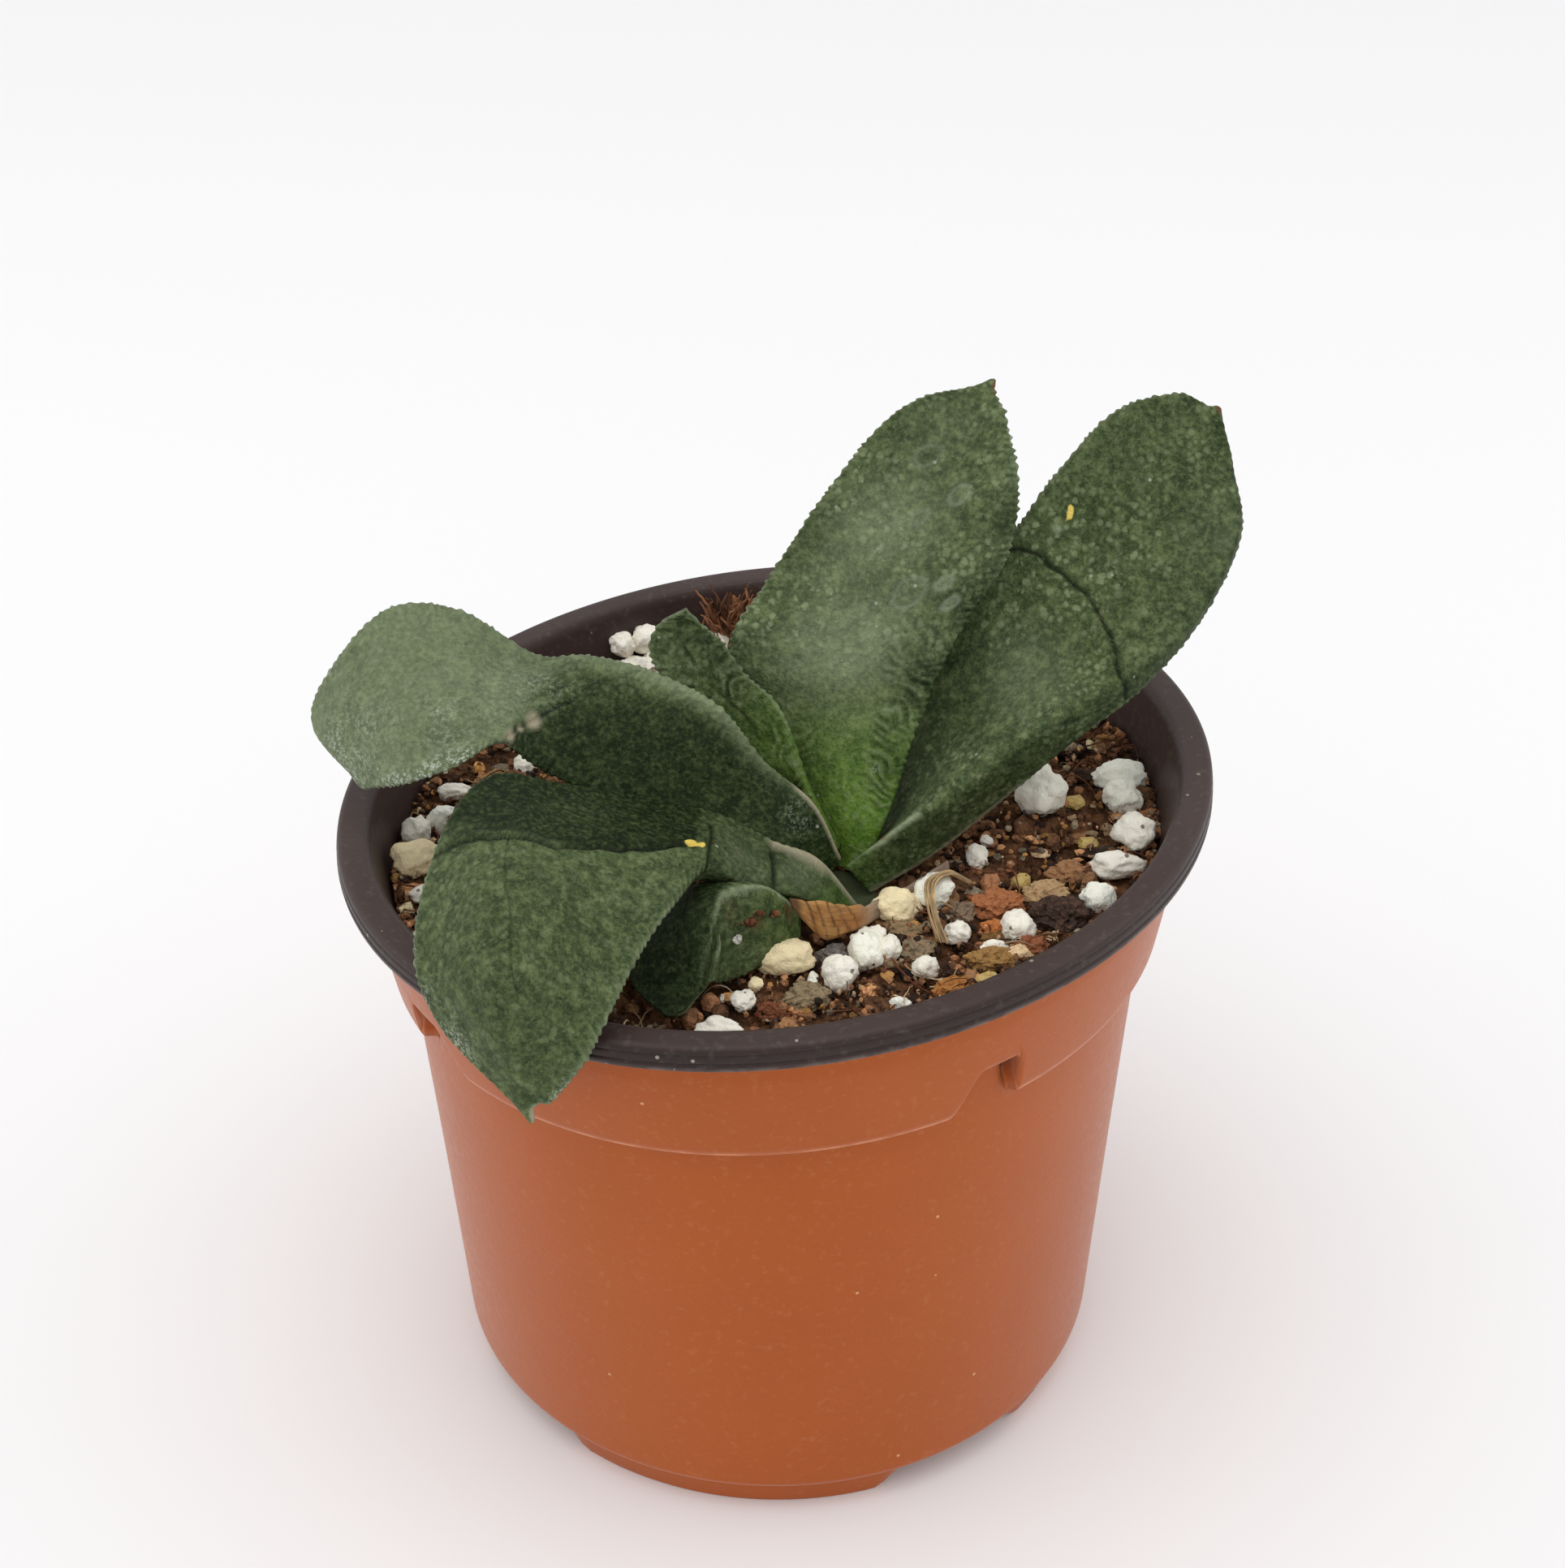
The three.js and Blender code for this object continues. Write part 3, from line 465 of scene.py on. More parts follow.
# Perlite grains that lie on top: place on the soil, then width and depth. Those piled on others have a
# height too.
PERLITE_ON_TOP = (
    (33.0, 3.0, 6.2, 7.0), (46.0, 9.5, 7.6, 4.0), (43.5, 5.0, 4.6, 4.6), (44.0, -4.5, 5.0, 5.0),
    (41.5, -10.5, 6.6, 3.4), (38.5, -16.5, 3.9, 3.7), (24.5, -7.5, 2.6, 3.5), (14.4, -18.3, 5.6, 4.4),
    (18.8, -16.0, 4.4, 4.4), (10.4, -25.4, 4.0, 6.2), (13.2, -25.2, 2.6, 3.4), (7.2, -30.2, 4.1, 4.0),
    (17.4, -28.0, 2.9, 2.9), (0.5, -27.4, 6.8, 4.2), (-4.0, -34.5, 2.6, 3.0), (-6.5, -39.4, 5.6, 3.0),
    (28.6, -21.6, 4.0, 4.2), (21.4, -22.4, 2.9, 2.9), (14.2, -33.6, 2.6, 1.6), (17.6, -34.6, 2.1, 1.4),
    (-46.0, 1.5, 3.8, 3.8), (-42.5, 4.0, 3.7, 3.7), (-41.5, 10.0, 4.7, 2.4), (-44.5, -6.5, 6.2, 4.5),
    (-43.0, -12.5, 4.0, 2.6), (-41.5, -17.0, 1.8, 3.2), (-33.0, 15.0, 2.6, 3.2), (-21.0, 40.4, 3.8, 3.6),
    (-17.5, 41.0, 4.1, 5.2), (-8.4, 43.9, 3.2, 3.4), (4.2, -30.0, 1.4, 2.0), (-2.6, -31.4, 1.8, 1.6),
    (25.6, -24.6, 3.0, 1.8), (26.0, -3.5, 1.5, 1.5), (11.6, -22.4, 2.6, 2.6),
)
PERLITE_PILED = ((-21.2, 38.9, 80.9, 3.6, 3.4), (-17.7, 39.8, 81.2, 4.2, 3.8))
YELLOWISH_GRAINS = (7, 13, 23, 31)
GRIT_ON_TOP = ((38.5, -4.0), (29.6, -11.0), (37.5, 3.5), (18.4, -34.0), (24.6, -31.0), (-38.0, 8.0))

# Clumps of peat and bark: place, half width, half depth, half height and colour. Crumbs on the leaves:
# place, height, size and colour.
CLUMPS = (
    (6.9, -25.8, 2.4, 2.6, 1.6, (133, 125, 120)), (3.4, -33.4, 2.8, 2.0, 1.3, (160, 142, 112)),
    (26.2, -15.8, 3.3, 2.3, 1.8, (188, 122, 80)), (26.0, -20.4, 1.8, 1.4, 1.1, (210, 133, 76)),
    (33.9, -18.6, 3.4, 2.8, 1.9, (80, 62, 54)), (16.6, -25.0, 2.2, 1.8, 1.2, (151, 133, 107)),
    (20.6, -31.4, 2.4, 1.7, 1.3, (191, 128, 70)), (25.6, -27.0, 3.0, 1.8, 1.3, (173, 133, 80)),
    (32.8, -13.4, 3.0, 2.4, 1.4, (204, 170, 126)), (15.2, -21.0, 2.4, 1.6, 1.0, (157, 133, 99)),
    (22.0, -18.6, 1.8, 1.8, 1.3, (142, 122, 102)), (35.5, -9.6, 2.4, 1.9, 1.3, (180, 134, 96)),
    (-36.5, 12.0, 2.4, 2.0, 1.3, (170, 133, 89)), (30.0, -24.8, 2.0, 1.5, 1.1, (160, 99, 67)),
    (-0.5, -35.5, 2.0, 1.4, 1.0, (138, 85, 60)), (-5.0, 43.4, 2.2, 1.0, 5.4, (158, 110, 78)),
    (-2.4, 43.6, 1.9, 0.9, 5.0, (146, 98, 68)),
)
CRUMBS_ON_LEAVES = (
    (-3.1, -29.1, 85.2, 1.2, (118, 74, 50)), (-2.0, -28.4, 86.0, 0.8, (104, 66, 46)),
    (-0.3, -27.1, 84.9, 0.9, (124, 80, 54)), (-4.7, -30.6, 83.9, 1.0, (226, 222, 212)),
    (-5.6, -29.4, 86.2, 0.5, (70, 42, 30)), (-4.2, -30.8, 86.2, 0.45, (84, 50, 36)),
)
PALE_STRAW = (
    (23.2, -14.6, 80.2), (20.6, -15.4, 82.2), (18.2, -18.0, 82.6), (18.4, -21.6, 81.0), (19.6, -24.6, 78.8),
)
PEAT_TONES = (
    (58, 42, 34), (116, 82, 58), (156, 110, 78), (192, 142, 100), (186, 138, 82), (162, 148, 124),
    (222, 188, 148), (64, 54, 48),
)
PEAT_SHARES = (0.17, 0.22, 0.22, 0.14, 0.07, 0.08, 0.06, 0.04)
FIBRE_TONES = ((70, 40, 26), (108, 62, 38), (134, 84, 52), (176, 140, 100), (210, 186, 148))
FIBRE_SHARES = (0.24, 0.32, 0.2, 0.14, 0.1)
PERLITE_WHITE = (255, 250, 236)
PERLITE_CREAM = (250, 232, 188)
GRIT_SIZE = (1.4, 1.1, 0.8)
GRIT_COLOUR = (206, 180, 108)

# Half sizes of the loose bits, from the least to the most, or each with its share.
CRUMB_SIZES = (0.6, 0.8, 1.2)
CRUMB_SHARES = (0.45, 0.38, 0.17)
FINE_SIZES = (0.2, 0.5)
CLUMP_SIZES = (1.0, 2.0)
PERLITE_SIZES = (0.3, 0.9)

# Fibres, straw and the tuft of coir at the back.
FIBRE_STEPS = 12
FIBRE_MARGIN = 0.6
FIBRE_LENGTHS = (2, 10)
FIBRE_RADII = (0.05, 0.15)
STRAW_STRANDS = 16
STRAW_STEPS = 22
STRAW_RADII = (0.1, 0.19)
STRAW_COLOUR = (206, 176, 130)
COIR_STRANDS = 120
COIR_PLACE = (-4.2, 42.8)
COIR_FOOT = 77.5
COIR_RADII = (0.12, 0.4)
COIR_COLOUR = (152, 106, 76)

# The camera and the point that the lights face, in metres. The camera's pitch is in degrees.
CAMERA_PLACE = (0, -0.29932, 0.29034)
CAMERA_PITCH = 55.5
CAMERA_TURN = -0.002
LIT_PLACE = (0, 0, 0.06)


def tone(red, green, blue):
    """Linear colour, with alpha, of screen values from 0 to 255."""
    linear = [((c / 255 + 0.055) / 1.055) ** 2.4 if c > 10 else c / 255 / 12.92 for c in (red, green, blue)]
    return (*linear, 1.0)


def opaque(colour):
    """Three-part linear colour with full alpha."""
    return (*colour, 1.0)


# ---------------------------------------------------------------------------------------- shapes


def smooth_step(value, low, high):
    """0 below low, 1 above high, and a smooth rise between them."""
    t = np.clip((value - low) / (high - low), 0, 1)
    return t * t * (3 - 2 * t)


def curve_through(points, places):
    """Smooth curve through points, read at places from 0 to 1."""
    place = np.clip(places, 0, 1) * (len(points) - 1)
    index = np.minimum(place.astype(int), len(points) - 2)
    t = (place - index).reshape((-1,) + (1,) * (points.ndim - 1))
    ends = [2 * points[0] - points[1]], [2 * points[-1] - points[-2]]
    padded = np.concatenate([ends[0], points, ends[1]])
    a, b, c, d = (padded[index + k] for k in range(4))
    cubic = (3 * b - a - 3 * c + d) * t ** 3
    return 0.5 * (2 * b + (c - a) * t + (2 * a - 5 * b + 4 * c - d) * t ** 2 + cubic)


def unit(vectors):
    """Vectors of length one."""
    return vectors / np.maximum(np.linalg.norm(vectors, axis=-1, keepdims=True), 1e-9)


def field(points, scale, seed):
    """Soft noise from -1 to 1 at each point, with lumps about 1/scale wide."""
    flat = points.reshape(-1, 3) * scale + seed
    values = [noise.noise(Vector(p)) for p in flat]
    return np.array(values).reshape(points.shape[:-1])


def on_axis(points):
    """Millimetres on the pot's axis to metres in the frame."""
    return np.asarray(points, float) * MM + AXIS


def held_in_box(points, node):
    """Points in the frame, held inside the box of a solid."""
    low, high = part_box(node)
    return np.clip(on_axis(points.reshape(-1, 3)), np.array(low), np.array(high))


def press_oval(points):
    """The rim is a little oval and tilted, and the foot is round."""
    x, y, z = points[..., 0], points[..., 1], points[..., 2]
    rise = z / RIM_HEIGHT
    scale = 1 + OVAL * rise * np.cos(2 * (np.arctan2(y, x) - OVAL_DIRECTION))
    height = z + (RIM_TILT_X * x + RIM_TILT_Y * y) * rise ** 2
    return np.stack([x * scale, y * scale, height], axis=-1)


def circle(radius, turn, height):
    """Points round the pot's axis at each angle."""
    x, y = radius * np.cos(turn), radius * np.sin(turn)
    return np.stack([x, y, height + 0 * x], axis=-1)


def make_piece(name, points, faces, materials, replaced=(), fields=None, picks=None, smooth=True):
    """New mesh piece in metres that rides on the body and stands for the replaced nodes."""
    mesh = bpy.data.meshes.new(name)
    mesh.from_pydata(np.asarray(points).tolist(), [], faces)
    for material in materials:
        mesh.materials.append(material)
    if picks is not None:
        mesh.polygons.foreach_set("material_index", picks)
    mesh.polygons.foreach_set("use_smooth", [smooth] * len(mesh.polygons))
    for label, values in (fields or {}).items():
        store = mesh.attributes.new(label, "FLOAT_VECTOR", "POINT")
        store.data.foreach_set("vector", np.asarray(values, float).ravel())
    mesh.update()
    piece = bpy.data.objects.new(name, mesh)
    bpy.context.scene.collection.objects.link(piece)
    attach(piece, BODY)
    if replaced:
        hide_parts(*replaced)
    return piece


def make_closed_piece(name, points, faces, materials, replaced, fields=None, picks=None):
    """Smooth piece whose points at the same place are merged and whose faces all look outward."""
    mesh = make_piece(name, points, faces, materials, replaced, fields, picks).data
    work = bmesh.new()
    work.from_mesh(mesh)
    bmesh.ops.remove_doubles(work, verts=work.verts, dist=1e-6)
    bmesh.ops.recalc_face_normals(work, faces=work.faces)
    work.to_mesh(mesh)
    work.free()
    mesh.polygons.foreach_set("use_smooth", [True] * len(mesh.polygons))
    mesh.update()


def ring_faces(rows, columns):
    """Quads between rows of points that close into rings."""
    faces = []
    for r in range(rows - 1):
        start, above = r * columns, (r + 1) * columns
        for c in range(columns):
            n = (c + 1) % columns
            faces.append((start + c, start + n, above + n, above + c))
    return faces


# ---------------------------------------------------------------------------------------- leaves


class Blade:
    """A leaf or sheath blade: the points of its visible face, and how far each lies along and across it."""

    def __init__(self, spec, rows, columns, seed):
        self.rows = rows
        self.columns = columns
        self.seed = seed
        self.along = np.linspace(0, 1, rows)
        even = np.linspace(0, 1, columns)
        crowded = 0.5 - 0.5 * np.cos(np.pi * even)
        self.across = (1 - MARGIN_CROWDING) * even + MARGIN_CROWDING * crowded
        rails = curve_through(np.array(spec["stations"], float), self.along).swapaxes(0, 1)
        self.face = curve_through(rails, self.across).swapaxes(0, 1)
        middle = curve_through(rails, np.array([0.5]))[0]
        narrowed = 1 - spec.get("point", 0) * smooth_step(self.along, *TIP_SPAN)
        self.face = middle[:, None] + (self.face - middle[:, None]) * narrowed[:, None, None]
        chord = self.face[:, -1] - self.face[:, 0]
        self.normal = unit(np.cross(np.gradient(middle, axis=0), chord))[:, None] * spec["back"]
        core = np.interp(self.along * (len(spec["core"]) - 1), range(len(spec["core"])), spec["core"])
        bulge = 1 - np.abs(2 * self.across - 1) ** LEAF_FULLNESS
        self.depth = LEAF_EDGE + np.outer(core - LEAF_EDGE, bulge)
        steps = np.linalg.norm(np.diff(self.face, axis=1), axis=2)
        self.from_far = np.concatenate([np.zeros((rows, 1)), np.cumsum(steps, axis=1)], axis=1)
        width = self.from_far[:, -1:]
        self.from_near = width - self.from_far
        run = np.repeat(distance_along(middle)[:, None], columns, axis=1)
        self.chart = np.stack([self.from_far - width / 2, run], axis=-1)
        waver = [self.uneven(0.35, 60), self.uneven(0.35, 70)]
        self.wavering = self.chart + 0.5 * np.stack(waver, axis=-1)

    def uneven(self, scale, shift):
        """Soft noise over the visible face."""
        return field(self.face, scale, self.seed + shift)

    def spread(self, values, by_row):
        """Values given along or across the blade, repeated over all of it."""
        values = values[:, None] if by_row else values[None]
        return np.broadcast_to(values, (self.rows, self.columns))

    def place(self, along, across):
        """Chart coordinates, in millimetres, of a place on the visible face."""
        r = along * (self.rows - 1)
        low = min(int(r), self.rows - 2)
        row = self.chart[low] * (1 - r + low) + self.chart[low + 1] * (r - low)
        return np.array([np.interp(across, self.across, row[:, 0]), row[0, 1]])

    def distance_to(self, along, across):
        """Distance over the face from a place on it."""
        return np.linalg.norm(self.wavering - self.place(along, across), axis=-1)

    def distance_to_line(self, line):
        """Distance over the face from a line through places on it."""
        stops = np.array([self.place(*p) for p in line])
        best = np.full(self.chart.shape[:2], 1e3)
        for a, b in zip(stops[:-1], stops[1:]):
            run = b - a
            t = np.clip(((self.wavering - a) @ run) / (run @ run), 0, 1)
            best = np.minimum(best, np.linalg.norm(self.wavering - a - t[..., None] * run, axis=-1))
        return best

    def edge_distance(self):
        """Distance over the face from the nearer margin."""
        return np.minimum(self.from_far, self.from_near)

    def round_margins(self, radius):
        """How far each face draws in near the margins, so that they end in a round edge."""
        near = 1 - np.clip(self.edge_distance() / radius, 0, 1)
        return LEAF_EDGE / 2 * (1 - np.sqrt(1 - near ** 2))

    def cut_teeth(self, height, pitch, reach):
        """Push fine teeth outward along both margins, and give the ribs that run inward from them."""
        chooser = np.random.default_rng(self.seed)
        shift = np.zeros_like(self.face)
        ribs = np.zeros((self.rows, self.columns))
        fade = smooth_step(self.along, 0.1, 0.25) * (1 - smooth_step(self.along, 0.95, 0.99))
        for side, rail, inner, distance in ((0, 0, 4, self.from_far), (1, -1, -5, self.from_near)):
            edge = self.face[:, rail]
            outward = unit(edge - self.face[:, inner])
            run = distance_along(edge)
            place = run / pitch + 0.25 * np.sin(run * 0.9 + self.seed + side)
            place += 0.3 * field(edge, 0.5, self.seed + side)
            sizes = chooser.uniform(*TOOTH_SIZES, int(place.max()) + 3)
            size = sizes[np.maximum(np.floor(place).astype(int), 0)]
            part = place - np.floor(place)
            climb, fall = part / TOOTH_PEAK, (1 - part) / (1 - TOOTH_PEAK)
            saw = smooth_step(np.where(part < TOOTH_PEAK, climb, fall), 0, 1)
            push = height * fade * (saw * size - TOOTH_SINK)
            shift += outward[:, None] * (push[:, None] * np.exp(-(distance / TOOTH_DEPTH) ** 2))[..., None]
            slant = np.cos(2 * np.pi * (place[:, None] - TOOTH_PEAK + 0.2 * distance))
            ribs += slant * (fade * size)[:, None] * np.exp(-(distance / reach) ** 2)
        self.face = self.face + shift
        return ribs

    def wrinkles(self, areas):
        """Ripples across parts of the blade."""
        total = np.zeros((self.rows, self.columns))
        unrest = self.uneven(0.4, 140)
        strength = smooth_step(self.uneven(0.22, 150), -0.45, 0.45)
        end_fade, side_fade = WRINKLE_FADE
        for start, end, low, high, pitch, slant, depth in areas:
            rise = smooth_step(self.along, start, start + end_fade)
            rise = rise * (1 - smooth_step(self.along, end - end_fade, end))
            side = np.ones(self.columns)
            if low > 0:
                side = side * smooth_step(self.across, low, low + side_fade)
            if high < 1:
                side = side * (1 - smooth_step(self.across, high - side_fade, high))
            phase = (self.chart[..., 1] + slant * self.chart[..., 0]) / pitch + 1.1 * unrest
            total += depth * strength * np.outer(rise, side) * np.cos(2 * np.pi * phase)
        return total

    def close(self, front_depth, back_depth):
        """Rings of points round the blade, whose two faces lie at these depths under the visible face."""
        front = self.face + self.normal * front_depth[..., None]
        back = self.face + self.normal * back_depth[..., None]
        loop = np.concatenate([front, back[:, BACK_COLUMNS]], axis=1)
        for end in (0, -1):
            loop[end] = loop[end].mean(axis=0)
        return loop

    def lay(self, values):
        """Values of the face repeated for the other side, ring by ring."""
        return np.concatenate([values, values[:, BACK_COLUMNS]], axis=1)


def distance_along(path):
    """How far each point of a path lies from its start."""
    return np.concatenate([[0], np.cumsum(np.linalg.norm(np.diff(path, axis=0), axis=1))])


def leaf_amounts(blade, spec):
    """How pale, creamy, brown, white, beige, ringed, shaded and green the leaf is at each place."""
    along = blade.spread(blade.along, True)
    across = blade.spread(blade.across, False)
    margins = {"far": blade.from_far, "near": blade.from_near, "both": blade.edge_distance()}
    kinds = ("pale", "cream", "brown", "white", "beige", "ring", "shade", "green")
    amounts = {kind: np.zeros((blade.rows, blade.columns)) for kind in kinds}

    def strengthen(kind, values):
        amounts[kind] = np.maximum(amounts[kind], values)

    amounts["pale"] += spec["pale"]
    if "pale_from" in spec:
        start, end, amount = spec["pale_from"]
        amounts["pale"] += amount * smooth_step(along, start, end)
    for kind, rows in spec["marks"].items():
        for place, side, radius, strength in rows:
            distance = blade.distance_to(place, side)
            apart = (distance - radius) / RING_HALF_WIDTH if kind == "ring" else distance / radius
            strengthen(kind, strength * np.exp(-apart ** 2))
    for kind, rows in spec.get("lines", {}).items():
        for width, strength, line in rows:
            strengthen(kind, strength * np.exp(-(blade.distance_to_line(line) / width) ** 2))
    for kind, rows in spec["edges"].items():
        for margin, start, end, width, strength in rows:
            reach = smooth_step(along, start - 0.03, start + 0.02)
            reach = reach * (1 - smooth_step(along, end - 0.01, end + 0.03))
            strengthen(kind, strength * reach * np.exp(-(margins[margin] / width) ** 2))
    if "shade" in spec:
        strength, direction, softness, line = spec["shade"]
        limit = np.interp(across, [p[0] for p in line], [p[1] for p in line])
        soft = softness[0] + (softness[1] - softness[0]) * across
        strengthen("shade", strength * smooth_step(direction * (limit - along) / soft, -1, 1))
    if "wall" in spec:
        low, high, strength = spec["wall"]
        strengthen("shade", strength * smooth_step(across, low, high))
    if "light" in spec:
        start, end, share = spec["light"]
        amounts["shade"] *= 1 - share * (1 - smooth_step(along, start, end))
    start, end, strength = spec["green"]
    amounts["green"] += strength * (1 - smooth_step(along, start, end))
    return amounts


def build_leaf(name, spec, settings, material, seed):
    """One fleshy leaf with toothed margins, ribs, creases, scars and its colour fields."""
    blade = Blade(spec, spec["rows"], LEAF_COLUMNS, seed)
    tooth = spec["tooth"]
    height, pitch, reach = settings.tooth_height, settings.tooth_pitch, settings.rib_length
    ribs = blade.cut_teeth(height / MM * tooth, pitch / MM, reach / MM)
    inset = blade.round_margins(MARGIN_RADIUS)
    inner = smooth_step(blade.edge_distance(), *FACE_INSIDE)
    dent = inner * (0.2 + 0.2 * blade.uneven(0.16, 0) + 0.14 * blade.uneven(0.4, 90))
    folds = blade.wrinkles(spec["wrinkles"]) * smooth_step(blade.edge_distance(), 0.1, 1.0)
    dent -= RIB_DEPTH * tooth * ribs + folds
    crease_shade_mask = np.zeros((blade.rows, blade.columns))
    lip_place, lip_width, lip_share = CREASE_LIPS
    for depth, line in spec["creases"]:
        distance = blade.distance_to_line(line)
        groove = np.exp(-(distance / CREASE_HALF_WIDTH) ** 2)
        lip = np.exp(-((distance - lip_place) / lip_width) ** 2)
        dent += depth * groove - lip_share * depth * lip * inner
        # Painted shade along the bottom of each crease, stronger for deeper creases.
        crease_shade_mask = np.maximum(crease_shade_mask, groove * min(depth * 3, 1))
    swell = inner * (0.15 + 0.15 * blade.uneven(0.16, 40))
    loop = blade.close(inset + dent, blade.depth - inset - swell - 0.05 * ribs)
    amounts = leaf_amounts(blade, spec)
    # Painted shade in the troughs of the wrinkles and margin ribs, and painted highlight on their crests.
    waves = folds / FULL_WRINKLE + 0.4 * tooth * ribs
    amounts["shade"] = np.clip(amounts["shade"] + 0.55 * np.clip(-waves, 0, 1), 0, 1)
    amounts["pale"] = np.clip(amounts["pale"] + 0.45 * np.clip(waves, 0, 1), 0, 1)
    amounts = {kind: blade.lay(values) for kind, values in amounts.items()}
    front = blade.lay(np.ones((blade.rows, blade.columns)))
    front[:, blade.columns:] = 0
    fields = {
        "leaf_dots": (front * spec["dots"], 0 * front, 0 * front),
        "leaf_tone": (amounts["pale"], amounts["green"], blade.lay(crease_shade_mask) * front),
        "leaf_marks": (amounts["cream"], amounts["brown"], amounts["white"]),
        "leaf_rings": (amounts["ring"] * front, amounts["shade"] * front, amounts["beige"]),
    }
    fields = {label: np.stack(parts, axis=-1) for label, parts in fields.items()}
    faces = ring_faces(*loop.shape[:2])
    make_closed_piece(name + "_skin", held_in_box(loop, name), faces, [material], [name], fields)


def build_sheath(material):
    """Dried papery sheath of an old leaf, with a ragged upper edge."""
    rows, columns = 110, 22
    blade = Blade(SHEATH, rows, columns, SHEATH_SEED)
    ragged = field(blade.face, 0.6, 4.0)[:, -1:] * 0.5
    rise = unit(blade.face[:, -1:] - blade.face[:, :1])
    blade.face = blade.face + rise * (ragged[..., None] - 0.2) * blade.across[None, :, None] ** 3
    inset = blade.round_margins(0.5)
    wrinkle = 0.16 * field(blade.face * np.array([1, 1, 0.4]), 1.1, 9.0)
    run = blade.along[:, None] + SHEATH_SLANT * (blade.across[None] - 0.5)
    run = run + 0.012 * field(blade.face, 0.9, 31.0)
    veins = sum(np.exp(-((run - place) / width) ** 2) for place, width in SHEATH_VEINS)
    veins = veins * (0.75 + 0.6 * field(blade.face, 0.8, 47.0))
    # Darker towards the sheath's start.
    darkened_start = 1 - smooth_step(blade.along[:, None] + 0.05 * field(blade.face, 0.7, 23.0), 0.06, 0.15)
    loop = blade.close(inset + 0.14 + wrinkle + 0.2 * veins, blade.depth - inset - 0.1)
    chart = blade.lay(blade.chart) * MM
    along = blade.lay(blade.spread(blade.along, True))
    vein, start_darkening = blade.lay(np.clip(veins, 0, 1)), blade.lay(darkened_start)
    fields = {
        "sheath_place": np.stack([chart[..., 0], chart[..., 1], 0 * along], axis=-1),
        "sheath_tone": np.stack([along, vein, start_darkening], axis=-1),
    }
    points = held_in_box(loop, "dry_sheath")
    make_closed_piece("papery_sheath", points, ring_faces(*loop.shape[:2]), [material],
                      ["dry_sheath"], fields)


# ---------------------------------------------------------------------------------------- pot


def inner_radius(height):
    """Inner radius of the round pot at a height."""
    rise = np.minimum((height - BODY_FOOT_HEIGHT) / (BAND_FOOT_HEIGHT - BODY_FOOT_HEIGHT), 1)
    body = BODY_FOOT_RADIUS + (BODY_TOP_RADIUS - BODY_FOOT_RADIUS) * rise - WALL
    over = np.maximum(height - BAND_FOOT_HEIGHT, 0) / (RIM_HEIGHT - BAND_FOOT_HEIGHT)
    return body + (RIM_INNER_RADIUS - body) * over


def pot_profile():
    """Corners of the wall from the middle of the underside round to the inside: radius, height, fillet."""
    outside = [
        (FLOOR_SEAM, FLOOR_UNDERSIDE, 0), (37.6, FLOOR_UNDERSIDE, 0.3), (37.8, 0, 0.3), (40.4, 0, 0.4),
        (40.9, 4, 0.5), (42, 4.4, 0.4), (42.6, 5.2, 0.5), (44, 35, 0), (45.5, 64.3, 0.5),
        (47.2, 65, 0.35), (47.6, 65.9, 0.4), (49.35, 77.6, 0.6), (49.5, 79.9, 0.4), (50.1, 81.1, 0.4),
        (51.3, 81.4, 0.3), (51.4, 82.0, 0.2), (52.4, 82.1, 0.3), (52.5, 83.0, 0.15), (52.25, 83.2, 0.12),
        (52.45, 83.4, 0.15), (52.4, 84.2, 0.12), (52.2, 84.35, 0.1), (52.35, 84.5, 0.12), (52.2, 85.2, 0.4),
        (51.7, 85.5, 0.4), (48.9, 85.4, 0.5), (48.3, 84.6, 0.6),
    ]
    bends = ((78, 0), (65, 0.4), (35, 0), (8, 0.8))
    inside = [(float(inner_radius(height)), height, size) for height, size in bends]
    floor_top = FLOOR_UNDERSIDE + WALL
    return outside + inside + [(inside[-1][0] - 2, floor_top, 0.8), (FLOOR_SEAM, floor_top, 0)]


def fillet(corners):
    """Profile with each corner that has a fillet turned into a short arc."""
    points = []
    for i, (radius, height, size) in enumerate(corners):
        here = np.array([radius, height], float)
        if size == 0 or i in (0, len(corners) - 1):
            points.append(here)
            continue
        before = np.array(corners[i - 1][:2], float) - here
        after = np.array(corners[i + 1][:2], float) - here
        reach = min(size, np.linalg.norm(before) * 0.45, np.linalg.norm(after) * 0.45)
        start, end = here + unit(before) * reach, here + unit(after) * reach
        for t in (0, 0.5, 1) if size <= SMALL_FILLET else (0, 0.25, 0.5, 0.75, 1):
            points.append((1 - t) ** 2 * start + 2 * t * (1 - t) * here + t ** 2 * end)
    return np.array(points)


def spread_profile(points, longest):
    """Profile with its long straight runs divided."""
    result = [points[0]]
    for a, b in zip(points[:-1], points[1:]):
        parts = max(1, int(np.linalg.norm(b - a) / longest))
        result.extend(a + (b - a) * k / parts for k in range(1, parts + 1))
    return np.array(result)


def angle_between(angle, centre):
    """Signed angle from a centre, from -pi to pi."""
    return np.arctan2(np.sin(angle - centre), np.cos(angle - centre))


def lug_rise(angle):
    """How far the band's foot is raised, 0 to 1, and how deep the slot at the lug's sharp end is, 0 to 1."""
    rise, slot = np.zeros_like(angle), np.zeros_like(angle)
    for centre, direction in LUGS:
        apart = direction * angle_between(angle, centre)
        lug = smooth_step(apart, *LUG_RAMP) * (1 - smooth_step(apart, *LUG_CUT))
        rise = np.maximum(rise, lug)
        slot = np.maximum(slot, np.exp(-((apart - LUG_SLOT) / SLOT_HALF_WIDTH) ** 2))
    return rise, slot


